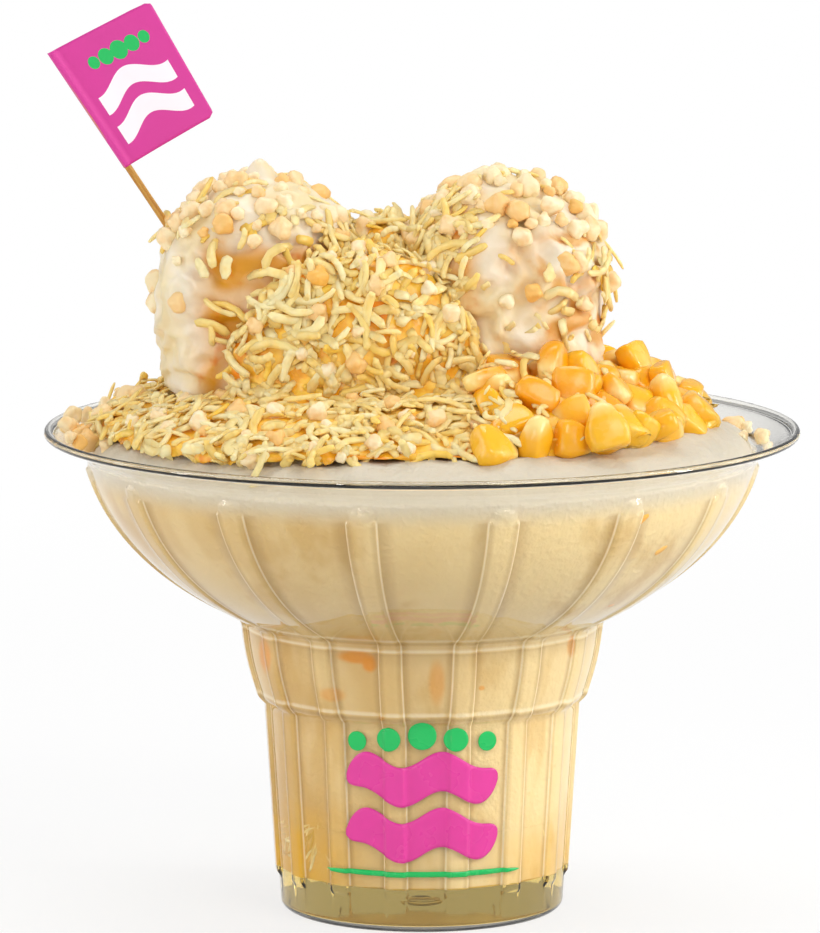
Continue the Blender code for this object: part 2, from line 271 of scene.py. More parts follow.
def mottle_group():
    """Soft blotches as a mask from 0 to 1."""
    group, given, result = new_group(
        "Mottle",
        (
            ("Vector", "INPUT", "NodeSocketVector"),
            ("Scale", "INPUT", "NodeSocketFloat"),
            ("Low", "INPUT", "NodeSocketFloat"),
            ("High", "INPUT", "NodeSocketFloat"),
            ("Mask", "OUTPUT", "NodeSocketFloat"),
        ),
    )
    cloud = add(
        group,
        "ShaderNodeTexNoise",
        {"Vector": given.outputs["Vector"], "Scale": given.outputs["Scale"], "Detail": 3.0, "Roughness": 0.55},
    )
    mask = ramp(group, cloud.outputs[0], given.outputs["Low"], given.outputs["High"])
    group.links.new(mask, result.inputs["Mask"])
    return group


def relief_group():
    """Soft relief as a normal."""
    group, given, result = new_group(
        "Soft Relief",
        (
            ("Vector", "INPUT", "NodeSocketVector"),
            ("Scale", "INPUT", "NodeSocketFloat"),
            ("Depth", "INPUT", "NodeSocketFloat"),
            ("Normal", "OUTPUT", "NodeSocketVector"),
        ),
    )
    cloud = add(
        group,
        "ShaderNodeTexNoise",
        {"Vector": given.outputs["Vector"], "Scale": given.outputs["Scale"], "Detail": 2.0},
    )
    bump = add(group, "ShaderNodeBump", {"Height": cloud.outputs[0], "Distance": given.outputs["Depth"]})
    group.links.new(bump.outputs[0], result.inputs["Normal"])
    return group


def shared_group(name):
    builders = {"Mottle": mottle_group, "Soft Relief": relief_group}
    return bpy.data.node_groups.get(name) or builders[name]()


def mottle(tree, point, scale, low=0.4, high=0.6):
    inputs = {"Vector": point, "Scale": scale, "Low": low, "High": high}
    return add_group(tree, "Mottle", inputs).outputs["Mask"]


def relief(tree, point, scale, depth):
    inputs = {"Vector": point, "Scale": scale, "Depth": depth}
    return add_group(tree, "Soft Relief", inputs).outputs["Normal"]


def add_group(tree, name, inputs):
    node = tree.nodes.new("ShaderNodeGroup")
    node.node_tree = shared_group(name)
    for label, value in inputs.items():
        if isinstance(value, bpy.types.NodeSocket):
            tree.links.new(value, node.inputs[label])
        else:
            node.inputs[label].default_value = value
    return node


def new_material(name):
    """(material, tree, Principled shader)"""
    material = bpy.data.materials.new(name)
    material.use_nodes = True
    return material, material.node_tree, material.node_tree.nodes["Principled BSDF"]


def moist(
    name,
    colour,
    roughness=0.35,
    gloss_scale=120.0,
    grain=(900.0, 0.0001),
    soft=0.15,
    soft_scale=0.0015,
    mirror=0.5,
):
    """A moist food surface. colour(tree, point) gives its colour socket."""
    material, tree, shader = new_material(name)
    point = object_point(tree)
    tree.links.new(colour(tree, point), shader.inputs["Base Color"])
    patches = mottle(tree, point, gloss_scale, 0.35, 0.65)
    inputs = {"Value": patches, "To Min": roughness - 0.08, "To Max": roughness + 0.15}
    tree.links.new(add(tree, "ShaderNodeMapRange", inputs).outputs[0], shader.inputs["Roughness"])
    tree.links.new(relief(tree, point, *grain), shader.inputs["Normal"])
    shader.inputs["Specular IOR Level"].default_value = mirror
    shader.inputs["Subsurface Weight"].default_value = soft
    shader.inputs["Subsurface Scale"].default_value = soft_scale
    shader.inputs["Subsurface Radius"].default_value = (1.0, 0.7, 0.4)
    return material


# --- Mesh helpers ---------------------------------------------------------------------------------


def place_piece(name, source, material, replaces=()):
    """The bmesh or mesh as a piece on the one body, smooth shaded, in place."""
    if isinstance(source, bmesh.types.BMesh):
        mesh = bpy.data.meshes.new(name)
        source.to_mesh(mesh)
        source.free()
    else:
        mesh = source
        mesh.name = name
    mesh.shade_smooth()
    mesh.materials.clear()
    mesh.materials.append(material)
    piece = bpy.data.objects.new(name, mesh)
    bpy.context.scene.collection.objects.link(piece)
    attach(piece, "root")
    if replaces:
        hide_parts(*replaces)
    return piece


def lathe(profile, steps):
    """A body turned round Z from (radius, height) points, from axis to axis."""
    bm = bmesh.new()
    line = [bm.verts.new((radius, 0.0, height)) for radius, height in profile]
    edges = [bm.edges.new(pair) for pair in zip(line, line[1:])]
    bmesh.ops.spin(
        bm,
        geom=line + edges,
        cent=(0, 0, 0),
        axis=(0, 0, 1),
        angle=math.tau,
        steps=steps,
        use_merge=True,
    )
    bmesh.ops.remove_doubles(bm, verts=bm.verts, dist=1e-6)
    bmesh.ops.recalc_face_normals(bm, faces=bm.faces)
    return bm


def inset_points(points, distance):
    """The (radius, height) line moved to its inner side."""
    moved = []
    for index, (radius, height) in enumerate(points):
        before = Vector(points[max(index - 1, 0)])
        after = Vector(points[min(index + 1, len(points) - 1)])
        along = (after - before).normalized()
        moved.append((radius - distance * along.y, height + distance * along.x))
    return moved


def height_at(points, height):
    """Radius of the line at a height, or 0 past its ends."""
    for (r0, z0), (r1, z1) in zip(points, points[1:]):
        if z0 <= height <= z1:
            return r0 + (r1 - r0) * (height - z0) / max(z1 - z0, 1e-9)
    return 0.0


def cut_line(points, low, high):
    """The part of the line from height low to height high."""
    inside = [p for p in points if low + 0.1 * MM < p[1] < high - 0.1 * MM]
    return [(height_at(points, low), low)] + inside + [(height_at(points, high), high)]


def template(bm, extra=None):
    """(points, faces, extra values for each point) of a small shape, for joining many."""
    bmesh.ops.recalc_face_normals(bm, faces=bm.faces)
    bmesh.ops.triangulate(bm, faces=bm.faces)
    points = np.array([v.co[:] for v in bm.verts])
    faces = np.array([[v.index for v in f.verts] for f in bm.faces])
    values = np.array([extra(v.co) if extra else 0.0 for v in bm.verts])
    bm.free()
    return points, faces, values


def joined(name, templates, places):
    """One mesh of many small shapes. places holds (template number, 4x4 matrix, tint)."""
    points, faces, tints, extras = [], [], [], []
    total = 0
    for number, matrix, tint in places:
        shape, shape_faces, values = templates[number]
        turn = np.array(matrix)
        points.append(shape @ turn[:3, :3].T + turn[:3, 3])
        faces.append(shape_faces + total)
        tints.append(np.full(len(shape), tint))
        extras.append(values)
        total += len(shape)
    mesh = bpy.data.meshes.new(name)
    mesh.from_pydata(np.concatenate(points), [], np.concatenate(faces))
    for label, data in (("tint", tints), ("part", extras)):
        layer = mesh.attributes.new(label, "FLOAT", "POINT")
        layer.data.foreach_set("value", np.concatenate(data).astype(np.float32))
    mesh.update()
    return mesh


def remeshed(node, voxel):
    """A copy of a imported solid's mesh with even small faces."""
    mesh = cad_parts[node].data.copy()
    bm = bmesh.new()
    bm.from_mesh(mesh)
    bmesh.ops.remove_doubles(bm, verts=bm.verts, dist=1e-6)
    bm.to_mesh(mesh)
    bm.free()
    helper = bpy.data.objects.new("helper", mesh)
    bpy.context.scene.collection.objects.link(helper)
    modifier = helper.modifiers.new("Even faces", "REMESH")
    modifier.mode = "VOXEL"
    modifier.voxel_size = voxel
    result = bmesh.new()
    result.from_object(helper, bpy.context.evaluated_depsgraph_get())
    bpy.data.objects.remove(helper)
    bpy.data.meshes.remove(mesh)
    return result


def lump(point, size, seed=0.0):
    """Smooth noise from -1 to 1 with lumps of about that size."""
    return noise.noise(point / size + Vector((seed, seed * 0.7, seed * 1.3)))


def crag(point, size, seed=0.0):
    """Noise with sharp crests, from 0 to 1."""
    return 1 - abs(lump(point, size, seed)) * 2


def along_surface(normal, turn):
    """A 3x3 matrix with Z along the surface at that turn and Y along its normal."""
    side = normal.orthogonal().normalized()
    ahead = Matrix.Rotation(turn, 3, normal) @ side
    across = normal.cross(ahead)
    return Matrix((across, normal, ahead)).transposed()


class Surface:
    """Points spread over a mesh by area."""

    def __init__(self, bm, seed, keep=lambda point, normal: True):
        bmesh.ops.triangulate(bm, faces=bm.faces)
        bm.normal_update()
        self.random = random.Random(seed)
        self.faces = [f for f in bm.faces if keep(f.calc_center_median(), f.normal)]
        self.areas = [f.calc_area() for f in self.faces]
        self.bm = bm

    def points(self, count):
        for face in self.random.choices(self.faces, self.areas, k=count):
            a, b = self.random.random(), self.random.random()
            if a + b > 1:
                a, b = 1 - a, 1 - b
            v0, v1, v2 = (v.co for v in face.verts)
            yield v0 + (v1 - v0) * a + (v2 - v0) * b, face.normal.copy()


# --- Cup ------------------------------------------------------------------------------------------


def cup_radius(cup, z):
    """The cup's outer side below the lip, without its ribs."""
    corner = cup.base_corner
    if z < corner:
        return cup.base_radius - corner + math.sqrt(corner**2 - (corner - z) ** 2)
    if z < cup.foot_height:
        along = (z - corner) / (cup.foot_height - corner)
        return cup.base_radius + (cup.foot_radius - cup.base_radius) * along
    step_top = cup.foot_height + cup.step_rise
    if z < step_top:
        return cup.foot_radius + cup.step_out * math.sin(math.pi / 2 * (z - cup.foot_height) / cup.step_rise)
    start = cup.foot_radius + cup.step_out
    along = (z - step_top) / (cup.neck_height - step_top)
    crown = cup.neck_crown * math.sin(math.pi * min(along, 1.0))
    neck = start + (cup.neck_radius - start) * along + crown
    bowl = cup.bowl_radius * math.sqrt(max(0.0, 1 - ((cup.bowl_centre - z) / cup.bowl_depth) ** 2))
    return (neck + bowl) / 2 + math.hypot((neck - bowl) / 2, cup.neck_fillet)


def side_line(cup):
    """The outer side from the bottom to the lip."""
    step_top = cup.foot_height + cup.step_rise
    heights = (
        [cup.base_corner * (1 - math.cos(turn)) for turn in spread(0.0, math.pi / 2, 6)]
        + spread(cup.rib_start, cup.rib_start + 2 * MM, 4)
        + spread(12 * MM, cup.foot_height - 1.2 * MM, 5)
        + spread(cup.foot_height, step_top, 8)
        + spread(step_top + 0.5 * MM, step_top + 1.5 * MM, 3)
        + spread(step_top + 3 * MM, cup.neck_height - 2.2 * MM, 5)
        + spread(cup.neck_height - 1.6 * MM, cup.neck_height + 4 * MM, 19)
        + spread(cup.neck_height + 5.5 * MM, cup.rib_end - 6 * MM, 16)
        + spread(cup.rib_end - 5 * MM, cup.rib_end + 0.4 * MM, 13)
        + [cup.lip_height]
    )
    return [(cup_radius(cup, z), z) for z in heights]


def rib_half_angle(cup, radius, z):
    grown = smooth_step(z, cup.neck_height, cup.lip_height)
    width = cup.rib_foot_width + (cup.rib_top_width - cup.rib_foot_width) * grown
    return width / 2 / max(radius, cup.base_radius)


def rib_columns():
    """Columns of one rib's share of the wall, as (stretch, how far along it, lift)."""
    gap = [("before", t) for t in (0.0, 0.35, 0.7)]
    rise = [("rise", t) for t in (0.0, 0.2, 0.4, 0.6, 0.8, 1.0)]
    top = [("top", t) for t in (0.2, 0.4, 0.6, 0.8)]
    fall = [("fall", t) for t in (0.0, 0.2, 0.4, 0.6, 0.8, 1.0)]
    return gap + rise + top + fall + [("after", t) for t in (0.3, 0.65)]


def rib_lift(cup, across, z):
    """Height of a rib where across is 0 in its middle and 1 at its edge."""
    arch = cup.rib_top_width / 2 * (1 - math.sqrt(max(0.0, 1 - across * across)))
    top = smooth_step(cup.rib_end - arch - z, 0.0, 0.9 * MM)
    return cup.rib_height * top * smooth_step(z - cup.rib_start, 0.0, 1.5 * MM)


EDGE_LIGHT = {0.0: -0.7, 0.2: 0.1, 0.4: 1.0, 0.6: 0.8, 0.8: -0.2, 1.0: -0.6}


def ring_light(cup, z):
    """Light lines where the bowl meets the neck and at the step, each with a dark one under it."""
    light = 0.0
    for height in (cup.neck_height + 2.4 * MM, cup.neck_height - 0.8 * MM, cup.foot_height + cup.step_rise):
        light += math.exp(-(((z - height) / (0.35 * MM)) ** 2))
        light -= 0.6 * math.exp(-(((z - height + 0.9 * MM) / (0.4 * MM)) ** 2))
    return light


def shape_ribs(bm, cup, lines):
    """Gathers the columns of a turned body at each rib and lifts those on it that lie on the given lines.

    Where light gathers along the moulded edges is kept as the attribute "edge".
    """
    layer = bm.verts.layers.float.new("edge")
    columns = rib_columns()
    pitch = math.tau / cup.rib_count
    for vert in bm.verts:
        radius, z = vert.co.xy.length, vert.co.z
        if radius < 1e-6:
            continue
        column = round(math.atan2(vert.co.y, vert.co.x) / pitch * len(columns))
        rib, place = divmod(column, len(columns))
        stretch, t = columns[place]
        half = rib_half_angle(cup, radius, z)
        side = cup.rib_side / max(radius, cup.base_radius)
        start, end, low, high = {
            "before": (-pitch / 2, -half - side, 0.0, 0.0),
            "rise": (-half - side, -half, 0.0, 1.0),
            "top": (-half, half, 1.0, 1.0),
            "fall": (half, half + side, 1.0, 0.0),
            "after": (half + side, pitch / 2, 0.0, 0.0),
        }[stretch]
        from_rib = start + (end - start) * t
        lift = low + (high - low) * smooth_step(t)
        angle = cup.rib_phase + FRONT + rib * pitch + from_rib
        if any(abs(radius - height_at(line, z)) < 0.02 * MM for line in lines):
            full = rib_lift(cup, min(abs(from_rib) / half, 1.0), z)
            radius += lift * full
            if stretch in ("rise", "fall"):
                vert[layer] = EDGE_LIGHT[t if stretch == "rise" else round(1 - t, 1)] * full / cup.rib_height
            vert[layer] += ring_light(cup, z)
        vert.co.xy = radius * math.cos(angle), radius * math.sin(angle)


def cup_profile(cup):
    """Underside, outside, lip with its rolled rim, inside and floor with the moulding mark."""
    outside = side_line(cup)
    low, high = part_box("cup")
    rim_radius, rim_height = (high.x - low.x) / 2, high.z
    roll = 0.85 * MM
    centre_r, centre_z = rim_radius - roll, rim_height - roll
    start_r, start_z = outside[-1]
    under, over = [], []
    for t in spread(0.0, 1.0, 9)[1:]:
        rise = 1 - (1 - t) ** 1.5
        under.append(
            (
                start_r + (centre_r - start_r) * t,
                start_z + (centre_z - roll - start_z) * (0.35 * t + 0.65 * rise),
            )
        )
    for r, z in under:
        over.append((r - 0.25 * MM, z + cup.wall * 1.05))
    rolled = [
        (centre_r + roll * math.cos(turn), centre_z + roll * math.sin(turn))
        for turn in spread(-math.pi / 2, math.pi * 0.62, 10)[1:]
    ]
    inside = inset_points(outside, cup.wall)
    floor = cup.floor + cup.gate_rise
    inside = cut_line(inside, cup.floor, cup.lip_height - 0.2 * MM)[::-1]
    gate = [
        (cup.gate_radius + cup.gate_rise, cup.floor),
        (cup.gate_radius + 0.3 * cup.gate_rise, floor - 0.15 * MM),
        (cup.gate_radius - 0.3 * MM, floor),
        (cup.gate_radius - 0.9 * MM, floor - 0.15 * MM),
        (0.0, floor - 0.15 * MM),
    ]
    flat = [(r, cup.floor) for r in spread(inside[-1][0] - 1 * MM, cup.gate_radius + 3 * MM, 4)]
    return [(0.0, 0.0)] + [(outside[0][0] * t, 0.0) for t in (0.3, 0.6, 0.9)] + outside + under + rolled + (
        over[-2::-1] + inside + flat + gate
    )


def lit_through(material, tree, shader, tint):
    """Lets the lamps through a clear material, with a tint."""
    through = add(tree, "ShaderNodeBsdfTransparent", {"Color": tint})
    rays = add(tree, "ShaderNodeLightPath")
    both = add(tree, "ShaderNodeMixShader", {0: rays.outputs["Is Shadow Ray"]})
    tree.links.new(shader.outputs[0], both.inputs[1])
    tree.links.new(through.outputs[0], both.inputs[2])
    tree.links.new(both.outputs[0], tree.nodes["Material Output"].inputs["Surface"])
    return material


def clear_plastic(cup):
    """Glossy clear plastic that lets the lamps through to the filling."""
    material, tree, shader = new_material("clear_plastic")
    shader.inputs["Base Color"].default_value = (*cup.plastic, 1.0)
    shader.inputs["Transmission Weight"].default_value = 1.0
    shader.inputs["Roughness"].default_value = 0.03
    shader.inputs["IOR"].default_value = 1.49
    point = object_point(tree)
    tree.links.new(relief(tree, point, 40.0, 0.00008), shader.inputs["Normal"])
    return lit_through(material, tree, shader, (0.96, 0.96, 0.95))


class DESSERT_OT_cup(bpy.types.Operator):
    """Turn the clear cup and raise its ribs"""

    bl_idname = "dessert.cup"
    bl_label = "Cup"

    def execute(self, context):
        cup = context.scene.dessert_cup
        bm = lathe(cup_profile(cup), cup.rib_count * len(rib_columns()))
        outside = side_line(cup)
        shape_ribs(bm, cup, (outside, inset_points(outside, cup.wall)))
        bmesh.ops.recalc_face_normals(bm, faces=bm.faces)
        place_piece("clear_cup", bm, clear_plastic(cup), ["cup"])
        return {"FINISHED"}


# --- Print on the cup -----------------------------------------------------------------------------


def ink(name, colour):
    def coloured(tree, point):
        return mix(tree, mottle(tree, point, 300.0), colour, [0.97 * c for c in colour])

    return moist(name, coloured, roughness=0.3, grain=(400.0, 0.00002), soft=0.0)


def on_cup(cup, across, z, proud):
    """The point of the cup's outside at a distance across from the front, along the wall."""
    radius = cup_radius(cup, z)
    angle = across / radius
    pitch = math.tau / cup.rib_count
    from_rib = (angle - cup.rib_phase + pitch / 2) % pitch - pitch / 2
    half = rib_half_angle(cup, radius, z)
    side = cup.rib_side / radius
    lift = 1 - smooth_step(abs(from_rib), half, half + side)
    radius += lift * rib_lift(cup, min(abs(from_rib) / half, 1.0), z) + proud
    return Vector((radius * math.cos(FRONT + angle), radius * math.sin(FRONT + angle), z))


def printed_shape(cup, outline, columns, rows):
    """A thin film on the cup. outline(u, v) gives (across, height) for u and v from 0 to 1."""
    bm = bmesh.new()
    bmesh.ops.create_grid(bm, x_segments=columns, y_segments=rows, size=0.5)
    for vert in bm.verts:
        across, z = outline(vert.co.x + 0.5, vert.co.y + 0.5)
        vert.co = on_cup(cup, across, z, 0.06 * MM)
    bmesh.ops.recalc_face_normals(bm, faces=bm.faces)
    middle = bm.faces[len(bm.faces) // 2]
    if middle.normal.dot(middle.calc_center_median() * Vector((1, 1, 0))) < 0:
        bmesh.ops.reverse_faces(bm, faces=bm.faces)
    bmesh.ops.solidify(bm, geom=bm.faces[:], thickness=0.04 * MM)
    bmesh.ops.recalc_face_normals(bm, faces=bm.faces)
    return bm


def merge(target, other):
    """Adds the other bmesh's shape to target."""
    mesh = bpy.data.meshes.new("part")
    other.to_mesh(mesh)
    other.free()
    target.from_mesh(mesh)
    bpy.data.meshes.remove(mesh)


def wave_band(low, high, half_width, waves, swing):
    """The outline of a wavy band, tapered at both ends."""

    def outline(u, v):
        across = half_width * (2 * u - 1)
        taper = math.sqrt(max(0.02, 1 - abs(2 * u - 1) ** 6))
        middle = (low + high) / 2 + swing * math.sin(math.tau * waves * u)
        return across, middle + (high - low) * (v - 0.5) * taper

    return outline


def disc(across, height, radius):
    """The outline of a round spot."""

    def outline(u, v):
        x, y = 2 * u - 1, 2 * v - 1
        return (
            across + radius * x * math.sqrt(1 - y * y / 2),
            height + radius * y * math.sqrt(1 - x * x / 2),
        )

    return outline


class DESSERT_OT_print(bpy.types.Operator):
    """Print plain wavy bands and spots on the front of the cup"""

    bl_idname = "dessert.print"
    bl_label = "Print"

    def execute(self, context):
        cup = context.scene.dessert_cup
        bands = bmesh.new()
        for low, high in ((29.0, 37.5), (17.0, 25.5)):
            outline = wave_band(low * MM, high * MM, 16.5 * MM, 2, 1.7 * MM)
            merge(bands, printed_shape(cup, outline, 90, 10))
        place_piece("print_bands", bands, ink("print_ink", tuple(cup.ink)))
        spots = bmesh.new()
        for index in range(5):
            across = (index - 2) * 7.0 * MM
            size = (3.0 - 0.45 * abs(index - 2)) * MM
            merge(spots, printed_shape(cup, disc(across, (42.6 - 0.8 * abs(index - 2)) * MM, size), 12, 12))
        line = wave_band(12.2 * MM, 13.4 * MM, 21.5 * MM, 1, 0.0)
        merge(spots, printed_shape(cup, line, 110, 2))
        place_piece("print_spots", spots, ink("print_second_ink", tuple(cup.second_ink)))
        return {"FINISHED"}


# --- Filling --------------------------------------------------------------------------------------


def filling_line(cup, filling):
    """The inner side of the wall, with the filling's bite into it."""
    return inset_points(side_line(cup), cup.wall - filling.bite)


def clear_syrup(filling):
    """Golden syrup that shows the floor of the cup and its moulding mark."""
    material, tree, shader = new_material("clear_syrup")
    point = object_point(tree)
    syrup = tuple(filling.syrup)
    gold = mix(tree, mottle(tree, point, 60.0, 0.3, 0.7), syrup, [0.9 * c for c in syrup])
    tree.links.new(gold, shader.inputs["Base Color"])
    shader.inputs["Transmission Weight"].default_value = 1.0
    shader.inputs["Roughness"].default_value = 0.05
    shader.inputs["IOR"].default_value = 1.08
    return lit_through(material, tree, shader, tuple(filling.syrup))


SUNK_SPOTS = (
    ((-13.5, -34, 59.6), (4.5, 12, 1.6), 0.9),
    ((-10.8, -35, 58.2), (1.8, 12, 1.9), 0.9),
    ((-32.5, -17, 57.0), (1.5, 12, 4.5), 0.7),
    ((-18.5, -31, 51.0), (3.0, 12, 1.8), 0.5),
    ((3.0, -35, 54.5), (1.9, 12, 5.5), 0.45),
    ((31.0, -19, 59.5), (1.2, 12, 2.8), 0.7),
    ((12.2, -33, 53.0), (0.8, 12, 0.6), 0.6),
    ((-8.3, -34, 46.5), (0.7, 12, 0.6), 0.6),
)


def filling_colour(filling):
    """White at the top, tan to the left and cream to the right as painted shade and painted light, yellow low at both
    sides, with streaks.
    """

    def coloured(tree, point):
        x, z = axis(tree, point, "X"), axis(tree, point, "Z")
        streaked = add(tree, "ShaderNodeMapping", {"Vector": point, "Scale": (1.0, 1.0, 0.4)}).outputs[0]
        tan, cream, gold = tuple(filling.tan), tuple(filling.cream), tuple(filling.jelly)
        # Painted shade and painted light: tan towards the left, cream towards the right.
        body = mix(tree, ramp(tree, x, -0.05, 0.045), tan, cream)
        belly = math_node(tree, "MULTIPLY", ramp(tree, z, 0.062, 0.072), 0.5)
        body = mix(tree, belly, body, cream)
        pale = math_node(tree, "MULTIPLY", mottle(tree, streaked, 48.0, 0.45, 0.62), 0.5)
        body = mix(tree, pale, body, cream)
        dark = math_node(tree, "MULTIPLY", mottle(tree, streaked, 75.0, 0.52, 0.68), 0.5)
        body = mix(tree, dark, body, tan)
        cloud = math_node(tree, "MULTIPLY", mottle(tree, point, 110.0, 0.3, 0.7), 0.008)
        low = ramp(tree, math_node(tree, "ADD", z, cloud), 0.032, 0.014)
        side = ramp(tree, math_node(tree, "ABSOLUTE", x), 0.01, 0.027)
        share = math_node(tree, "MULTIPLY", ramp(tree, x, 0.02, -0.01), 0.5)
        side = math_node(tree, "MULTIPLY", side, math_node(tree, "ADD", share, 0.5))
        body = mix(tree, math_node(tree, "MULTIPLY", low, side), body, gold)
        for place, size, share in SUNK_SPOTS:
            away = vector_math(tree, "SUBTRACT", point, [c * MM for c in place]).outputs[0]
            scaled = vector_math(tree, "MULTIPLY", away, [1 / (c * MM) for c in size]).outputs[0]
            length = vector_math(tree, "LENGTH", scaled).outputs["Value"]
            stain = math_node(tree, "MULTIPLY", ramp(tree, length, 1.15, 0.5), share)
            body = mix(tree, stain, body, tuple(filling.fruit))
        body = mix(tree, ramp(tree, z, 0.091, 0.097), body, tuple(filling.white))
        edge = attribute(tree, "edge")
        light = math_node(tree, "MULTIPLY", math_node(tree, "MAXIMUM", edge, 0.0), 0.6)
        body = mix(tree, light, body, tuple(filling.glint))
        shade = math_node(tree, "MULTIPLY", math_node(tree, "MINIMUM", edge, 0.0), -0.6)
        return mix(tree, shade, body, [c * s for c, s in zip(filling.tan, (0.55, 0.45, 0.3))])

    return coloured


def crisp_cap(radius, height, count, outward):
    """Rings of a flat cap, with one close to its edge so that the corner stays crisp."""
    rings = [(radius * t, height) for t in spread(0.0, 0.97, count)] + [(radius - 0.1 * MM, height)]
    return rings if outward else rings[::-1]


def crisp_side(side):
    """The side with a point close to each end."""
    (r0, z0), (r1, z1) = side[0], side[-1]
    low = (r0 + (side[1][0] - r0) * 0.02, z0 + (side[1][1] - z0) * 0.02)
    high = (r1 + (side[-2][0] - r1) * 0.02, z1 + (side[-2][1] - z1) * 0.02)
    return [side[0], low] + side[1:-1] + [high, side[-1]]


class DESSERT_OT_filling(bpy.types.Operator):
    """Fill the cup with fruit jelly and milky shaved ice up to its heaped top"""

    bl_idname = "dessert.filling"
    bl_label = "Filling"

    def execute(self, context):
        cup, filling = context.scene.dessert_cup, context.scene.dessert_filling
        self.jelly(cup, filling)
        self.ice(cup, filling)
        self.sunk(cup, filling)
        return {"FINISHED"}

    def jelly(self, cup, filling):
        level, clear = filling.jelly_height, filling.clear_height
        line = filling_line(cup, filling)
        side = cut_line(line, clear, level)
        bottom = crisp_cap(side[0][0], clear, 12, True)
        top = crisp_cap(side[-1][0], level, 6, False)
        bm = lathe(bottom + crisp_side(side) + top, cup.rib_count * len(rib_columns()))
        shape_ribs(bm, cup, (line,))
        material = moist("fruit_jelly", filling_colour(filling), grain=(500.0, 0.0002), mirror=0.1)
        place_piece("fruit_jelly", bm, material, ["jelly_layer"])
        side = cut_line(line, cup.floor + 0.05 * MM, clear + 0.3 * MM)
        bottom = crisp_cap(side[0][0], side[0][1], 4, True)
        top = crisp_cap(side[-1][0], side[-1][1], 4, False)
        bm = lathe(bottom + crisp_side(side) + top, cup.rib_count * len(rib_columns()))
        shape_ribs(bm, cup, (line,))
        place_piece("clear_syrup", bm, clear_syrup(filling))

    def ice(self, cup, filling):
        level = filling.jelly_height + 0.005 * MM
        line = filling_line(cup, filling)
        side = cut_line(line, level, filling.shoulder_height)
        bottom = crisp_cap(side[0][0], level, 4, True)
        edge = side[-1][0]
        dome = [
            (
                filling.flat_radius + (edge - filling.flat_radius) * math.cos(turn),
                filling.shoulder_height + (filling.ice_height - filling.shoulder_height) * math.sin(turn),
            )
            for turn in spread(0.0, math.pi / 2, 16)[1:]
        ]
        top = [(filling.flat_radius * t, filling.ice_height) for t in spread(1.0, 0.0, 10)[1:]]
        side[1:1] = crisp_side(side)[1:2]
        bm = lathe(bottom + side + dome + top, cup.rib_count * len(rib_columns()))
        shape_ribs(bm, cup, (line,))
        for vert in bm.verts:
            rise = smooth_step(vert.co.z, filling.shoulder_height, filling.shoulder_height + 3 * MM)
            if rise:
                snow = 0.9 * lump(vert.co, 7 * MM, 1.0) + 0.4 * lump(vert.co, 2.6 * MM, 2.0)
                vert.co.z += rise * snow * 1.1 * MM
        material = moist("milky_ice", filling_colour(filling), 0.45, grain=(700.0, 0.00035), mirror=0.15)
        place_piece("milky_ice", bm, material, ["shaved_ice"])

    def sunk(self, cup, filling):
        """Bits of fruit pressed against the wall, and pale strands in the jelly."""
        line = filling_line(cup, filling)
        random_bits = random.Random(11)
        bits = [
            (random_bits.uniform(42, 190), random_bits.uniform(47, 92), random_bits.uniform(0.8, 2.2))
            for _ in range(14)
        ]
        shapes = [crumb_template(5 + index, 2, 0.25) for index in range(4)]
        places = []
        for number, (across, z, size) in enumerate(bits):
            radius = height_at(line, z * MM)
            angle = FRONT + across * MM / radius
            slope = (height_at(line, z * MM + MM) - height_at(line, z * MM - MM)) / (2 * MM)
            normal = Vector((math.cos(angle), math.sin(angle), -slope)).normalized()
            point = Vector((radius * math.cos(angle), radius * math.sin(angle), z * MM))
            stretch = Matrix.Diagonal((size * 0.45 * MM, 0.35 * MM, size * MM, 1.0))
            turned = along_surface(normal, random_bits.uniform(0, math.pi)).to_4x4()
            places.append((number % 4, Matrix.Translation(point) @ turned @ stretch, random_bits.random()))
        mesh = joined("sunk_fruit", shapes, places)
        topping = bpy.context.scene.dessert_topping
        material = moist("sunk_fruit", kernel_colour(topping), roughness=0.3, grain=(300.0, 0.0001))
        place_piece("sunk_fruit", mesh, material)
        strands = [shred_template(random.Random(50 + n), 9.0 * MM, 0.9 * MM, 0.5 * MM, 1.2) for n in range(5)]
        places = []
        for index in range(150):
            sides = (random_bits.gauss(-0.85, 0.16), random_bits.uniform(0.7, 5.2))
            across = FRONT + random_bits.choice(sides)
            z = random_bits.triangular(filling.clear_height + 1 * MM, filling.jelly_height + 3 * MM)
            radius = height_at(line, z) - 0.2 * MM
            normal = Vector((math.cos(across), math.sin(across), 0))
            turned = along_surface(normal, random_bits.uniform(-0.7, 0.7) + math.pi / 2).to_4x4()
            size = Matrix.Scale(random_bits.uniform(0.6, 1.1), 4)
            point = Vector((radius * normal.x, radius * normal.y, z))
            places.append((index % 5, Matrix.Translation(point) @ turned @ size, random_bits.random()))
        mesh = joined("jelly_strands", strands, places)

        def coloured(tree, point):
            return mix(tree, attribute(tree, "tint"), tuple(filling.strands), tuple(filling.jelly))

        material = moist("jelly_strands", coloured, roughness=0.25)
        place_piece("jelly_strands", mesh, material)


# --- Toppings -------------------------------------------------------------------------------------


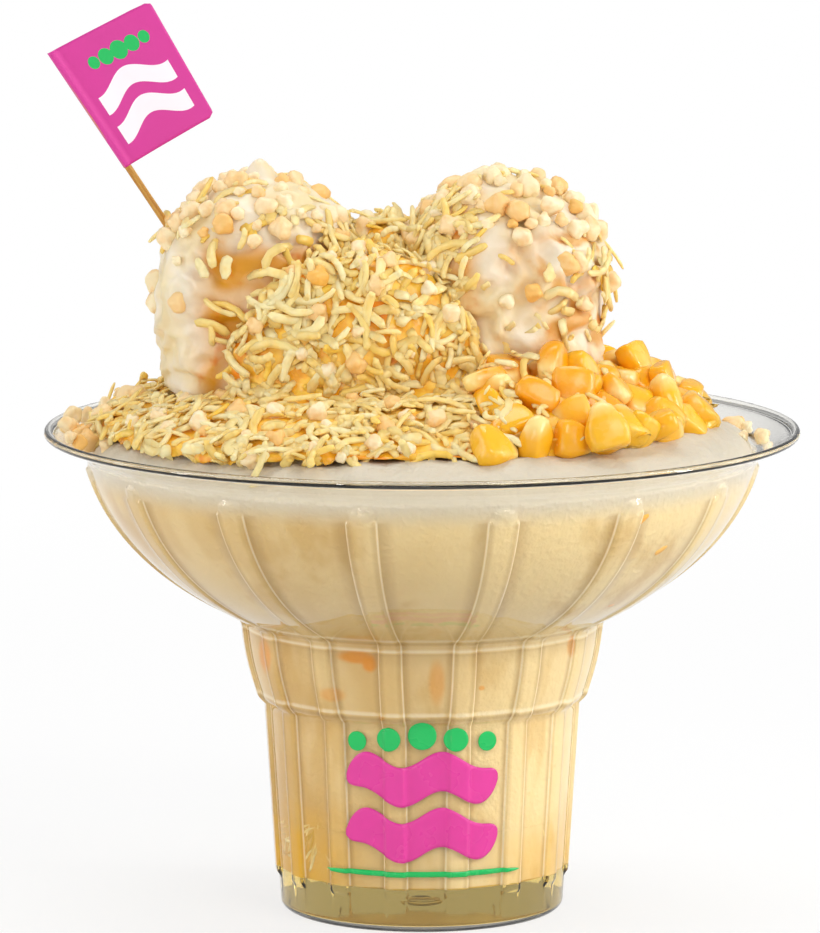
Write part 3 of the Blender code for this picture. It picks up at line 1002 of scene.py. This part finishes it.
def shred_template(rng, length, width, thick, curl, segments=5):
    """A bent strip of cheese grown from a six-sided end, with its middle at the origin and lying along Z."""
    bm = bmesh.new()
    bmesh.ops.create_circle(bm, cap_ends=True, segments=6, radius=0.5)
    bmesh.ops.scale(bm, verts=bm.verts, vec=(width, thick, 1.0))
    bmesh.ops.scale(bm, verts=bm.verts, vec=(0.55, 0.55, 1.0))
    face = bm.faces[:][0]
    centre, heading = Vector((0, 0, 0)), Vector((0, 0, 1))
    bend = rng.uniform(-curl, curl) / segments
    sag = rng.uniform(0.2, 0.9) / segments
    sizes = [1.6] + [rng.uniform(0.88, 1.12) for _ in range(segments - 2)] + [0.6]
    middle = centre
    for step in range(segments):
        grown = bmesh.ops.extrude_face_region(bm, geom=[face])["geom"]
        verts = [item for item in grown if isinstance(item, bmesh.types.BMVert)]
        face = [item for item in grown if isinstance(item, bmesh.types.BMFace)][0]
        turn = Matrix.Rotation(bend * rng.uniform(0.6, 1.4), 3, "Y") @ Matrix.Rotation(sag, 3, "X")
        share = 0.5 if step in (0, segments - 1) else 1.0
        move = heading * length * share / (segments - 1)
        space = Matrix.Translation(-centre)
        bmesh.ops.rotate(bm, verts=verts, matrix=turn, space=space)
        bmesh.ops.scale(bm, verts=verts, vec=(sizes[step],) * 3, space=space)
        bmesh.ops.translate(bm, verts=verts, vec=move)
        centre = centre + move
        heading = (turn @ heading).normalized()
        if step == segments // 2:
            middle = centre.copy()
    bmesh.ops.translate(bm, verts=bm.verts, vec=-middle)
    lean = (centre.normalized()).rotation_difference(Vector((0, 0, 1))) if centre.length else None
    if lean:
        bmesh.ops.rotate(bm, verts=bm.verts, matrix=lean.to_matrix())
    return template(bm)


def crumb_template(seed, detail=2, uneven=0.18):
    """A puffed crumb of radius 1."""
    bm = bmesh.new()
    bmesh.ops.create_icosphere(bm, subdivisions=detail, radius=1.0)
    for vert in bm.verts:
        vert.co *= 1 + uneven * noise.noise(vert.co * 1.15 + Vector((seed * 3.1, 0, 0)))
    return template(bm)


def kernel_template(rng):
    """A kernel of corn of half width 1: a blunt tooth, dented at its broad end and narrow at its tip."""
    bm = bmesh.new()
    bmesh.ops.create_cube(bm, size=2.0)
    bmesh.ops.subdivide_edges(bm, edges=bm.edges, cuts=5, use_grid_fill=True)
    twist = rng.uniform(-0.25, 0.25)
    for vert in bm.verts:
        unit = vert.co.normalized()
        box = vert.co * 0.82
        point = unit.lerp(box, 0.38)
        along = (point.z + 1) / 2
        width = 0.46 + 0.54 * smooth_step(along, -0.1, 0.75)
        thick = 0.42 + 0.16 * smooth_step(along, 0.0, 0.6)
        dent = 0.16 * smooth_step(along, 0.75, 1.0) * max(0.0, 1 - (point.x**2 + point.y**2) * 2.2)
        vert.co = Vector((point.x * width, point.y * thick + twist * 0.2 * point.z**2, point.z * 1.08 - dent))
        vert.co += unit * 0.05 * noise.noise(vert.co * 1.7 + Vector((twist * 40, 0, 0)))
    return template(bm, lambda co: smooth_step(-co.z, 0.25, 0.95))


def hollow(point, place, size):
    """1 in the middle of a soft hollow, 0 outside it."""
    return math.exp(-(((point - Vector(place) * MM).length / (size * MM)) ** 2))


def scoop_ball(radius, seed, hollows, peak, golden):
    """A ball of ice cream with melted folds, crags and hollows, round the origin.

    golden(point) gives the share of syrup and of painted shade, kept as an attribute.
    """
    bm = bmesh.new()
    bmesh.ops.create_icosphere(bm, subdivisions=6, radius=1.0)
    layer = bm.verts.layers.float.new("gold")
    for vert in bm.verts:
        unit = vert.co.copy()
        flat = unit.xy.length
        if unit.z < 0 and flat > 1e-6:
            reach = min(1.0, flat * 2.2) * (1 + 0.08 * unit.z)
            unit.xy *= reach / flat
            unit.z *= 1.15
        point = unit * radius
        fold = Vector((point.x, point.y, point.z * 2.2))
        gold = golden(point)
        rough = smooth_step(lump(point, 16 * MM, seed + 4), -0.15, 0.25) * (1 - 0.6 * gold)
        rise = 1.8 * lump(point, 15 * MM, seed) + 1.2 * lump(fold, 8 * MM, seed + 1)
        rise += rough * (1.9 * (crag(point, 6 * MM, seed + 2) - 0.6) + 0.8 * lump(point, 2.6 * MM, seed + 3))
        rise -= sum(depth * hollow(point, place, size) for place, size, depth in hollows)
        rise += peak * math.exp(-((flat * radius / (3.0 * MM)) ** 2)) * (unit.z > 0)
        vert.co = point + unit.normalized() * rise * MM
        vert[layer] = gold
    return bm


def left_gold(point):
    """Syrup over the front of the left scoop, below its top and clear of its outer side."""
    x, y, z = point / MM
    where = smooth_step(x, -16, -9) * smooth_step(z, 13, 7) * smooth_step(y, 8, -6)
    return where * (0.55 + 0.45 * smooth_step(lump(point, 7 * MM, 12.0), -0.35, 0.15))


def right_syrup_and_hollow_shade(point):
    """Spots of syrup on the right of the right scoop, and painted shade in its hollow, in the syrup's gold."""
    x, y, z = point / MM
    spots = smooth_step(x, 4, 9) * smooth_step(z, 14, 9) * smooth_step(lump(point, 6 * MM, 15.0), -0.1, 0.2)
    left = smooth_step(x, -3, -10) * smooth_step(lump(point, 8 * MM, 16.0), -0.4, 0.1)
    # The gold in the hollow is painted shade.
    return max(0.85 * spots, 0.9 * left, 0.4 * hollow(point, (3, -19, 6), 6))


SCOOP_SHAPES = {
    "left": (1.0, (((-3, -20, 1), 7, 2.2), ((11, -18, -9), 6, 2.0), ((-16, -14, 8), 5, 1.2)), 5.0, left_gold),
    "right": (7.0, (((3, -19, 8), 5.5, 2.4), ((13, -16, 0), 4, 1.5)), 0.8, right_syrup_and_hollow_shade),
}


def scoop_colour(topping):
    """Cream, golden where syrup lies and as painted shade in the right scoop's hollow, and orange where it is
    deepest.
    """

    def coloured(tree, point):
        cream, gold = tuple(topping.scoop_cream), tuple(topping.scoop_gold)
        warm = [c * s for c, s in zip(cream, (0.97, 0.91, 0.7))]
        body = mix(tree, mottle(tree, point, 75.0, 0.42, 0.62), cream, warm)
        body = mix(tree, attribute(tree, "gold"), body, gold)
        deep = [c * s for c, s in zip(gold, (1.0, 0.62, 0.25))]
        stain = math_node(tree, "MULTIPLY", attribute(tree, "gold"), mottle(tree, point, 150.0, 0.56, 0.68))
        return mix(tree, stain, body, deep)

    return coloured


def tinted(first, second, amount=1.0):
    """A colour between two by each small shape's own tint, a little uneven over it."""

    def coloured(tree, point):
        share = math_node(tree, "MULTIPLY", attribute(tree, "tint"), amount)
        body = mix(tree, share, first, second)
        warm = [c * s for c, s in zip(second, (0.98, 0.9, 0.72))]
        cloudy = math_node(tree, "MULTIPLY", mottle(tree, point, 260.0, 0.45, 0.65), 0.35)
        return mix(tree, cloudy, body, warm)

    return coloured


def kernel_colour(topping):
    def coloured(tree, point):
        body = mix(tree, attribute(tree, "tint"), tuple(topping.kernel_gold), tuple(topping.kernel_deep))
        pale = math_node(tree, "MULTIPLY", mottle(tree, point, 120.0, 0.5, 0.7), 0.25)
        body = mix(tree, pale, body, tuple(topping.kernel_tip))
        return mix(tree, attribute(tree, "part"), body, tuple(topping.kernel_tip))

    return coloured


# Melted cheese, golden with paler and orange blotches. Where it shows between shreds and kernels it is also painted
# shade.
def core_and_gap_shade_colour(topping):
    def coloured(tree, point):
        gold = tuple(topping.cheese_core_and_gap_shade)
        pale = tuple(topping.cheese_deep)
        orange = [c * s for c, s in zip(gold, (1.0, 0.7, 0.4))]
        body = mix(tree, mottle(tree, point, 210.0, 0.4, 0.58), gold, pale)
        return mix(tree, mottle(tree, point, 90.0, 0.6, 0.68), body, orange)

    return coloured


def scoop_places():
    """Middle of each scoop: its solid's box gives the sides, and its top the height."""
    places = []
    for low, high in SCOOP_BOXES:
        middle = (low + high) / 2
        places.append(Vector((middle.x, middle.y, high.z - (high.x - low.x) / 2)))
    return places


class DESSERT_OT_scoops(bpy.types.Operator):
    """Set the two scoops of ice cream on the ice"""

    bl_idname = "dessert.scoops"
    bl_label = "Scoops"

    def execute(self, context):
        topping = context.scene.dessert_topping
        for (side, shape), centre in zip(SCOOP_SHAPES.items(), scoop_places()):
            bm = scoop_ball(topping.scoop_radius, *shape)
            bmesh.ops.translate(bm, verts=bm.verts, vec=centre)
            material = moist(
                f"ice_cream_{side}",
                scoop_colour(topping),
                roughness=0.38,
                grain=(500.0, 0.00015),
                soft=0.2,
                soft_scale=0.002,
            )
            place_piece(f"ice_cream_{side}", bm, material, [f"scoop_{side}"])
        return {"FINISHED"}


def outside_scoops(topping, margin=0.5 * MM):
    """A test for points that lie clear of both scoops."""
    centres = scoop_places()
    clear = topping.scoop_radius + margin
    return lambda point: all((point - centre).length > clear for centre in centres)


def shrink(bm, depth, uneven, size):
    """Draws a heap in by depth and roughens it, to make the core under the loose pieces."""
    bm.normal_update()
    moves = [v.normal * (-depth + uneven * lump(v.co, size, 9.0)) for v in bm.verts]
    for vert, move in zip(bm.verts, moves):
        vert.co += move


def lay(rng, point, normal, tilt, lift, scale):
    """A place on a surface with a random turn and tilt."""
    lean = Vector((rng.gauss(0, tilt), rng.gauss(0, tilt), rng.gauss(0, tilt)))
    up = (normal + lean).normalized()
    turned = along_surface(up, rng.uniform(0, math.tau)).to_4x4()
    return Matrix.Translation(point + normal * lift) @ turned @ Matrix.Scale(scale, 4)


def shreds_on(surface, topping, count, layers, seed, wanted=lambda point, normal, rng: True):
    """Places for shreds over a surface, the upper layers paler and higher."""
    rng = random.Random(seed)
    places = []
    for point, normal in surface.points(count):
        if not wanted(point, normal, rng):
            continue
        layer = rng.random()
        lift = layer * layers - 0.2 * MM
        tint = min(1.0, max(0.0, rng.gauss(0.7 - 0.6 * layer, 0.2)))
        size = rng.uniform(0.75, 1.15)
        places.append((rng.randrange(12), lay(rng, point, normal, 0.18, lift, size), tint))
    return places


def shred_shapes(topping):
    rng = random.Random(4)
    lengths = (2.5, 3.0, 4.0, 4.5, 5.0, 5.5, 6.0, 7.0, 8.0, 9.0, 10.5, 12.0)
    return [
        shred_template(
            rng,
            length * MM,
            topping.shred_width * rng.uniform(0.65, 1.25),
            topping.shred_thick * rng.uniform(0.75, 1.3),
            2.2,
        )
        for length in lengths
    ]


def left_share(x, y, z):
    """How likely a shred is at a place on the left scoop, in mm from its middle."""
    inner = 0.7 * smooth_step(x, 8, 16)
    low = 0.6 * smooth_step(z, -6, -16) * smooth_step(x, -18, -10)
    top = 0.22 * smooth_step(z, 8, 14)
    return max(inner, low, top, 0.12 * smooth_step(x, -14, -8))


def right_share(x, y, z):
    """How likely a shred is at a place on the right scoop, in mm from its middle."""
    inner = 0.9 * smooth_step(x, -2, -11)
    low = 0.7 * smooth_step(z, -4, -13)
    outer = 0.25 * smooth_step(x, 7, 12) * smooth_step(z, 14, 6)
    return max(inner, low, outer, 0.04)


class DESSERT_OT_cheese(bpy.types.Operator):
    """Heap grated cheese over the ice, between the scoops and on them"""

    bl_idname = "dessert.cheese"
    bl_label = "Cheese"

    def execute(self, context):
        topping = context.scene.dessert_topping
        core = remeshed("cheese_heap", 1.4 * MM)
        shrink(core, 0.7 * MM, 1.3 * MM, 5 * MM)
        clear = outside_scoops(topping)
        surface = Surface(core.copy(), 21, lambda p, n: n.z > -0.35 and clear(p))
        bed = shreds_on(surface, topping, 3300, 1.4 * MM, 22)
        # The core's gold is melted cheese, and painted shade in the gaps between the shreds.
        material = moist("cheese_core_and_gap_shade", core_and_gap_shade_colour(topping), roughness=0.3, grain=(600.0, 0.0002))
        place_piece("cheese_core_and_gap_shade", core, material, ["cheese_heap"])
        shapes = shred_shapes(topping)
        loose = moist(
            "grated_cheese",
            tinted(tuple(topping.cheese_pale), tuple(topping.cheese_deep)),
            roughness=0.36,
            grain=(900.0, 0.0001),
            soft=0.2,
            soft_scale=0.003,
        )
        half = len(bed) // 2
        place_piece("grated_cheese_a", joined("grated_cheese_a", shapes, bed[:half]), loose)
        place_piece("grated_cheese_b", joined("grated_cheese_b", shapes, bed[half:]), loose)
        on_scoops = []
        for index, (centre, share) in enumerate(zip(scoop_places(), (left_share, right_share))):
            ball = bmesh.new()
            bmesh.ops.create_icosphere(ball, subdivisions=4, radius=topping.scoop_radius)
            bmesh.ops.translate(ball, verts=ball.verts, vec=centre)
            surface = Surface(ball, 31 + index, lambda p, n: n.z > -0.6)

            def wanted(point, normal, rng, centre=centre, share=share):
                return rng.random() < share(*((point - centre) / MM))

            on_scoops += shreds_on(surface, topping, 1500, 1.7 * MM, 41 + index, wanted)
        corn = remeshed("corn_heap", 2.0 * MM)
        surface = Surface(corn, 33, lambda p, n: n.z > 0.2 and clear(p))
        on_scoops += shreds_on(
            surface, topping, 260, 2.0 * MM, 43, lambda p, n, rng: rng.random() < smooth_step(-p.x / MM, -44, -14)
        )
        place_piece("scoop_cheese", joined("scoop_cheese", shapes, on_scoops), loose)
        return {"FINISHED"}


def spaced(surface, count, distance, tries=40):
    """Points of the surface at least distance apart."""
    kept = []
    cells = {}
    for point, normal in surface.points(count * tries):
        key = tuple(int(c // distance) for c in point)
        near = (
            other
            for dx in (-1, 0, 1)
            for dy in (-1, 0, 1)
            for dz in (-1, 0, 1)
            for other in cells.get((key[0] + dx, key[1] + dy, key[2] + dz), ())
        )
        if all((other - point).length > distance for other in near):
            cells.setdefault(key, []).append(point)
            kept.append((point, normal))
            if len(kept) == count:
                break
    return kept


class DESSERT_OT_corn(bpy.types.Operator):
    """Heap sweetcorn kernels against the right scoop"""

    bl_idname = "dessert.corn"
    bl_label = "Corn"

    def execute(self, context):
        topping = context.scene.dessert_topping
        core = remeshed("corn_heap", 1.6 * MM)
        shrink(core, 3.2 * MM, 0.8 * MM, 5 * MM)
        clear = outside_scoops(topping)
        surface = Surface(core.copy(), 51, lambda p, n: n.z > -0.3 and clear(p))
        # The core's gold and orange are painted shade in the gaps between the kernels, in the cheese's colours.
        material = moist("corn_core_and_gap_shade", core_and_gap_shade_colour(topping), roughness=0.3, grain=(400.0, 0.0003))
        place_piece("corn_core_and_gap_shade", core, material, ["corn_heap"])
        rng = random.Random(52)
        shapes = [kernel_template(rng) for _ in range(8)]
        places = []
        for lift, gap in ((0.4, 6.0), (3.0, 8.4)):
            for point, normal in spaced(surface, 200, gap * MM):
                size = topping.kernel_size / 2 * rng.uniform(0.88, 1.1)
                places.append((rng.randrange(8), lay(rng, point, normal, 0.45, lift * MM, size), rng.random() ** 1.5))
        mesh = joined("sweetcorn_kernels", shapes, places)
        material = moist(
            "sweetcorn", kernel_colour(topping), roughness=0.16, grain=(250.0, 0.00015), soft=0.2, soft_scale=0.002
        )
        place_piece("sweetcorn_kernels", mesh, material)
        return {"FINISHED"}


class DESSERT_OT_crumbs(bpy.types.Operator):
    """Scatter puffed crumbs over the cheese, the scoops and the ice"""

    bl_idname = "dessert.crumbs"
    bl_label = "Crumbs"

    def execute(self, context):
        topping = context.scene.dessert_topping
        rng = random.Random(61)
        shapes = [crumb_template(n, 3, 0.45) for n in range(6)]
        heap = remeshed("cheese_heap", 2.0 * MM)
        clear = outside_scoops(topping)
        places = []
        for point, normal in spaced(Surface(heap, 62, lambda p, n: n.z > 0.0 and clear(p)), 150, 5.2 * MM):
            places.append(self.crumb(rng, point, normal, 0.0, rng.uniform(1.0, 2.3)))
        for index, centre in enumerate(scoop_places()):
            ball = bmesh.new()
            bmesh.ops.create_icosphere(ball, subdivisions=4, radius=topping.scoop_radius + 0.8 * MM)
            bmesh.ops.translate(ball, verts=ball.verts, vec=centre)
            top = Surface(ball, 63 + index, lambda p, n: n.z > -0.3)
            for point, normal in spaced(top, 160, 3.3 * MM):
                chance = 0.2 + 0.8 * smooth_step(normal.z, 0.25, 0.7)
                if rng.random() < chance:
                    places.append(self.crumb(rng, point, normal, -0.3, rng.uniform(1.0, 2.6)))
        for turn, count in ((math.pi - 0.05, 26), (0.22, 6)):
            for _ in range(count):
                angle, radius = rng.gauss(turn, 0.16), rng.uniform(63, 76) * MM
                high = 0.1005 + 0.6 * max(0.0, radius - 0.072)
                point = Vector((radius * math.cos(angle), radius * math.sin(angle), high))
                places.append(self.crumb(rng, point, Vector((0, 0, 1)), 0.6, rng.uniform(1.0, 2.4)))
        mesh = joined("crumbs", shapes, places)
        colours = tinted(tuple(topping.crumb_pale), tuple(topping.crumb_tan))
        material = moist("crumbs", colours, roughness=0.4, grain=(700.0, 0.0002), soft=0.1)
        place_piece("crumbs", mesh, material)
        return {"FINISHED"}

    @staticmethod
    def crumb(rng, point, normal, lift, radius):
        matrix = lay(rng, point, normal, 0.5, lift * MM, radius * MM)
        return rng.randrange(6), matrix, rng.random() ** 2.4


# --- Flag -----------------------------------------------------------------------------------------


def pick_frame(flag):
    """Turns and moves a shape drawn up the Z axis, with the flag towards +X, onto the leaning pick."""
    low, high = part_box("pick")
    along = Vector((-math.sin(flag.lean), 0.0, math.cos(flag.lean)))
    top = Vector((low.x, (low.y + high.y) / 2, high.z))
    entry = top - along * (flag.pick_length - flag.depth)
    return Matrix.Translation(entry) @ Matrix.Rotation(-flag.lean, 4, "Y")


def bamboo(flag):
    material, tree, shader = new_material("bamboo")
    point = object_point(tree)
    turned = add(tree, "ShaderNodeMapping", {"Vector": point, "Rotation": (0.0, flag.lean, 0.0)}).outputs[0]
    fibres = add(tree, "ShaderNodeMapping", {"Vector": turned, "Scale": (1.0, 1.0, 0.04)}).outputs[0]
    grain = mottle(tree, fibres, 2500.0, 0.35, 0.65)
    colour = tuple(flag.bamboo)
    dark = [c * s for c, s in zip(colour, (0.78, 0.62, 0.4))]
    tree.links.new(mix(tree, grain, dark, colour), shader.inputs["Base Color"])
    tree.links.new(relief(tree, fibres, 2500.0, 0.0001), shader.inputs["Normal"])
    shader.inputs["Roughness"].default_value = 0.55
    return material


def flag_paper(flag):
    """Printed paper: a pale wave and a row of spots, placed by the sheet's own UV map."""
    material, tree, shader = new_material("flag_paper")
    uv = add(tree, "ShaderNodeUVMap", uv_map="sheet").outputs[0]
    u, v = axis(tree, uv, "X"), axis(tree, uv, "Y")
    wave = math_node(tree, "SINE", math_node(tree, "MULTIPLY", u, math.tau * 1.5))
    swing = math_node(tree, "MULTIPLY", wave, 0.06)
    colour = tuple(flag.paper)
    for middle, half in ((0.52, 0.075), (0.27, 0.075)):
        off = math_node(tree, "ABSOLUTE", math_node(tree, "SUBTRACT", math_node(tree, "ADD", v, swing), middle))
        band = math_node(tree, "LESS_THAN", off, half)
        from_middle = math_node(tree, "ABSOLUTE", math_node(tree, "SUBTRACT", u, 0.52))
        edge = math_node(tree, "LESS_THAN", from_middle, 0.36)
        colour = mix(tree, math_node(tree, "MULTIPLY", band, edge), colour, tuple(flag.mark))
    for spot, size in ((0.3, 0.05), (0.42, 0.065), (0.55, 0.075), (0.68, 0.065), (0.8, 0.05)):
        place = add(tree, "ShaderNodeCombineXYZ", {"X": spot, "Y": 0.78, "Z": 0.0}).outputs[0]
        gap = add(tree, "ShaderNodeVectorMath", {0: uv, 1: place}, operation="DISTANCE").outputs["Value"]
        colour = mix(tree, math_node(tree, "LESS_THAN", gap, size), colour, tuple(flag.dots))
    tree.links.new(colour, shader.inputs["Base Color"])
    tree.links.new(relief(tree, object_point(tree), 1200.0, 0.00003), shader.inputs["Normal"])
    shader.inputs["Roughness"].default_value = 0.5
    return material


class DESSERT_OT_flag(bpy.types.Operator):
    """Stand the paper flag on its bamboo pick in the left scoop"""

    bl_idname = "dessert.flag"
    bl_label = "Flag"

    def execute(self, context):
        flag = context.scene.dessert_flag
        matrix = pick_frame(flag)
        top = flag.pick_length - flag.depth
        point = 3.0 * MM
        profile = [(0.0, -flag.depth), (0.4 * flag.pick_radius, 0.5 * point - flag.depth)]
        profile += [(flag.pick_radius, z) for z in spread(point - flag.depth, top - point, 24)]
        profile += [(0.5 * flag.pick_radius, top - 0.3 * point), (0.0, top)]
        bm = lathe(profile, 20)
        for vert in bm.verts:
            vert.co.xy *= 1 + 0.08 * lump(vert.co, 9 * MM, 2.0)
        bmesh.ops.transform(bm, matrix=matrix, verts=bm.verts)
        place_piece("bamboo_pick", bm, bamboo(flag), ["pick"])
        self.sheet(flag, matrix)
        return {"FINISHED"}

    def sheet(self, flag, matrix):
        """Paper folded round the pick, two layers glued together, with a slow wave and rounded corners."""
        thick = 0.16 * MM
        sleeve = flag.pick_radius + 0.12 * MM
        width = (22.2, 24.1)
        rise = (-1.1, 26.5)
        height = 29.0 * MM
        bm = bmesh.new()
        bmesh.ops.create_grid(bm, x_segments=44, y_segments=40, size=0.5)
        layer = bm.loops.layers.uv.new("sheet")
        for face in bm.faces:
            for loop in face.loops:
                loop[layer].uv = loop.vert.co.xy + Vector((0.5, 0.5))
        for vert in bm.verts:
            u, v = vert.co.x + 0.5, vert.co.y + 0.5
            out = (width[0] + (width[1] - width[0]) * v) * MM * u
            corner = 1.2 * MM
            far_v = min(v, 1 - v) * height
            if far_v < corner:
                out -= (corner - math.sqrt(corner**2 - (corner - far_v) ** 2)) * smooth_step(u, 0.8, 1.0)
            near, far = height * v, (rise[0] + (rise[1] - rise[0]) * v) * MM
            up = near + (far - near) * u
            wave = 0.55 * MM * math.sin(u * math.pi * 1.6 + v * 0.8) * smooth_step(u, 0.05, 0.4)
            vert.co = Vector((out - sleeve, wave, up + flag.lift))
        bmesh.ops.recalc_face_normals(bm, faces=bm.faces)
        if bm.faces[:][0].normal.y > 0:
            bmesh.ops.reverse_faces(bm, faces=bm.faces)
        for vert in bm.verts:
            from_pick = vert.co.x
            if abs(from_pick) < 2.6 * MM:
                hug = math.sqrt(max(0.0, sleeve**2 - min(abs(from_pick), sleeve) ** 2))
                vert.co.y -= hug
        bmesh.ops.solidify(bm, geom=bm.faces[:], thickness=thick)
        bmesh.ops.transform(bm, matrix=matrix, verts=bm.verts)
        bmesh.ops.recalc_face_normals(bm, faces=bm.faces)
        place_piece("paper_flag", bm, flag_paper(flag), ["flag"])


# --- Stage ----------------------------------------------------------------------------------------


def lamp(name, place, aim, size, power):
    data = bpy.data.lights.new(name, "AREA")
    data.shape = "RECTANGLE"
    data.size, data.size_y = size
    data.energy = power
    data.color = (1.0, 1.0, 1.0)
    obj = bpy.data.objects.new(name, data)
    bpy.context.scene.collection.objects.link(obj)
    obj.location = place
    obj.rotation_euler = (Vector(aim) - Vector(place)).to_track_quat("-Z", "Y").to_euler()


def plain_white(stage):
    """A pale floor that keeps a soft shadow and shows white to the camera and through the cup."""
    material, tree, shader = new_material("pale_floor")
    point = object_point(tree)
    colour = mix(tree, mottle(tree, point, 2.0), tuple(stage.floor), [0.99 * c for c in stage.floor])
    tree.links.new(colour, shader.inputs["Base Color"])
    shader.inputs["Roughness"].default_value = 0.7
    glow = add(tree, "ShaderNodeEmission", {"Color": (1.0, 1.0, 1.0), "Strength": 1.0})
    rays = add(tree, "ShaderNodeLightPath")
    seen = math_node(tree, "ADD", rays.outputs["Is Camera Ray"], rays.outputs["Is Glossy Ray"])
    seen = math_node(tree, "ADD", seen, rays.outputs["Is Transmission Ray"])
    far = add(tree, "ShaderNodeVectorMath", {0: point}, operation="LENGTH").outputs["Value"]
    far = math_node(tree, "ADD", math_node(tree, "MULTIPLY", ramp(tree, far, 0.05, 0.6), 0.25), 0.75)
    seen = math_node(tree, "MULTIPLY", math_node(tree, "MINIMUM", seen, 1.0), far)
    both = add(tree, "ShaderNodeMixShader", {0: seen})
    tree.links.new(shader.outputs[0], both.inputs[1])
    tree.links.new(glow.outputs[0], both.inputs[2])
    tree.links.new(both.outputs[0], tree.nodes["Material Output"].inputs["Surface"])
    return material


def build_world(scene):
    """Even pale light, white where the camera sees it and darker near the horizon in reflections."""
    world = bpy.data.worlds.new("studio")
    scene.world = world
    world.use_nodes = True
    tree = world.node_tree
    background = tree.nodes["Background"]
    rays = add(tree, "ShaderNodeLightPath")
    direction = add(tree, "ShaderNodeTexCoord").outputs["Generated"]
    height = axis(tree, direction, "Z")
    side = math_node(tree, "ABSOLUTE", axis(tree, direction, "X"))
    card = math_node(tree, "MULTIPLY", ramp(tree, side, 0.6, 0.85), ramp(tree, height, 0.75, 0.35))
    seen_through = mix(tree, card, (0.98, 0.98, 0.98), (0.3, 0.3, 0.3))
    mirror = mix(tree, card, (0.45, 0.45, 0.45), (2.4, 2.4, 2.4))
    sky = mix(tree, rays.outputs["Is Glossy Ray"], seen_through, mirror)
    fill = mix(tree, ramp(tree, height, -0.2, 1.0), (0.45, 0.45, 0.45), (0.5, 0.5, 0.5))
    mirrored = math_node(tree, "MAXIMUM", rays.outputs["Is Glossy Ray"], rays.outputs["Is Transmission Ray"])
    colour = mix(tree, mirrored, fill, sky)
    colour = mix(tree, rays.outputs["Is Camera Ray"], colour, (1.0, 1.0, 1.0))
    tree.links.new(colour, background.inputs["Color"])
    background.inputs["Strength"].default_value = 1.0


class DESSERT_OT_stage(bpy.types.Operator):
    """Set up the pale floor, the lamps and the camera"""

    bl_idname = "dessert.stage"
    bl_label = "Stage"

    def execute(self, context):
        stage = context.scene.dessert_stage
        bm = bmesh.new()
        bmesh.ops.create_grid(bm, x_segments=8, y_segments=8, size=3.0)
        mesh = bpy.data.meshes.new("floor")
        bm.to_mesh(mesh)
        bm.free()
        mesh.materials.append(plain_white(stage))
        floor = bpy.data.objects.new("floor", mesh)
        context.scene.collection.objects.link(floor)
        floor.location.z = -0.0002
        build_world(context.scene)
        middle = (0.0, 0.0, 0.1)
        lamp("key", (0.5, -0.75, 0.8), middle, (0.5, 0.5), 3.7)
        lamp("front", (-0.15, -1.3, 0.06), middle, (0.5, 0.25), 1.3)
        lamp("front_strip", (-0.5, -1.1, 0.25), middle, (0.06, 0.6), 1.2)
        lamp("left_strip", (-0.75, -0.2, 0.3), middle, (0.07, 0.7), 1.2)
        lamp("right_strip", (0.75, -0.1, 0.3), middle, (0.07, 0.7), 2.2)
        lamp("top", (0.0, 0.25, 0.9), middle, (0.6, 0.4), 2.6)
        camera = bpy.data.objects.new("camera", bpy.data.cameras.new("camera"))
        context.scene.collection.objects.link(camera)
        camera.data.lens = stage.lens
        camera.data.sensor_width = 36.0
        reach, up = stage.distance * math.cos(stage.pitch), stage.distance * math.sin(stage.pitch)
        camera.location = (-stage.aside, -reach, stage.aim_height + up)
        camera.rotation_euler = (math.pi / 2 - stage.pitch, 0.0, 0.0)
        context.scene.camera = camera
        context.scene.view_settings.view_transform = "Standard"
        return {"FINISHED"}


# --- Panel and registration -----------------------------------------------------------------------

OPERATORS = (
    DESSERT_OT_cup,
    DESSERT_OT_print,
    DESSERT_OT_filling,
    DESSERT_OT_scoops,
    DESSERT_OT_cheese,
    DESSERT_OT_corn,
    DESSERT_OT_crumbs,
    DESSERT_OT_flag,
    DESSERT_OT_stage,
)


class DESSERT_PT_panel(bpy.types.Panel):
    """Lists the pieces of the dessert"""

    bl_idname = "DESSERT_PT_panel"
    bl_label = "Shaved Ice Dessert"
    bl_space_type = "VIEW_3D"
    bl_region_type = "UI"
    bl_category = "Dessert"

    def draw(self, context):
        for operator in OPERATORS:
            self.layout.operator(operator.bl_idname)


def register():
    for group in SETTINGS.values():
        bpy.utils.register_class(group)
    for name, group in SETTINGS.items():
        setattr(bpy.types.Scene, name, bpy.props.PointerProperty(type=group))
    for operator in OPERATORS:
        bpy.utils.register_class(operator)
    bpy.utils.register_class(DESSERT_PT_panel)


def unregister():
    bpy.utils.unregister_class(DESSERT_PT_panel)
    for operator in reversed(OPERATORS):
        bpy.utils.unregister_class(operator)
    for name, group in SETTINGS.items():
        delattr(bpy.types.Scene, name)
        bpy.utils.unregister_class(group)


def main():
    register()
    bpy.ops.dessert.cup()
    bpy.ops.dessert.print()
    bpy.ops.dessert.filling()
    bpy.ops.dessert.scoops()
    bpy.ops.dessert.cheese()
    bpy.ops.dessert.corn()
    bpy.ops.dessert.crumbs()
    bpy.ops.dessert.flag()
    bpy.ops.dessert.stage()


if __name__ == "__main__":
    main()
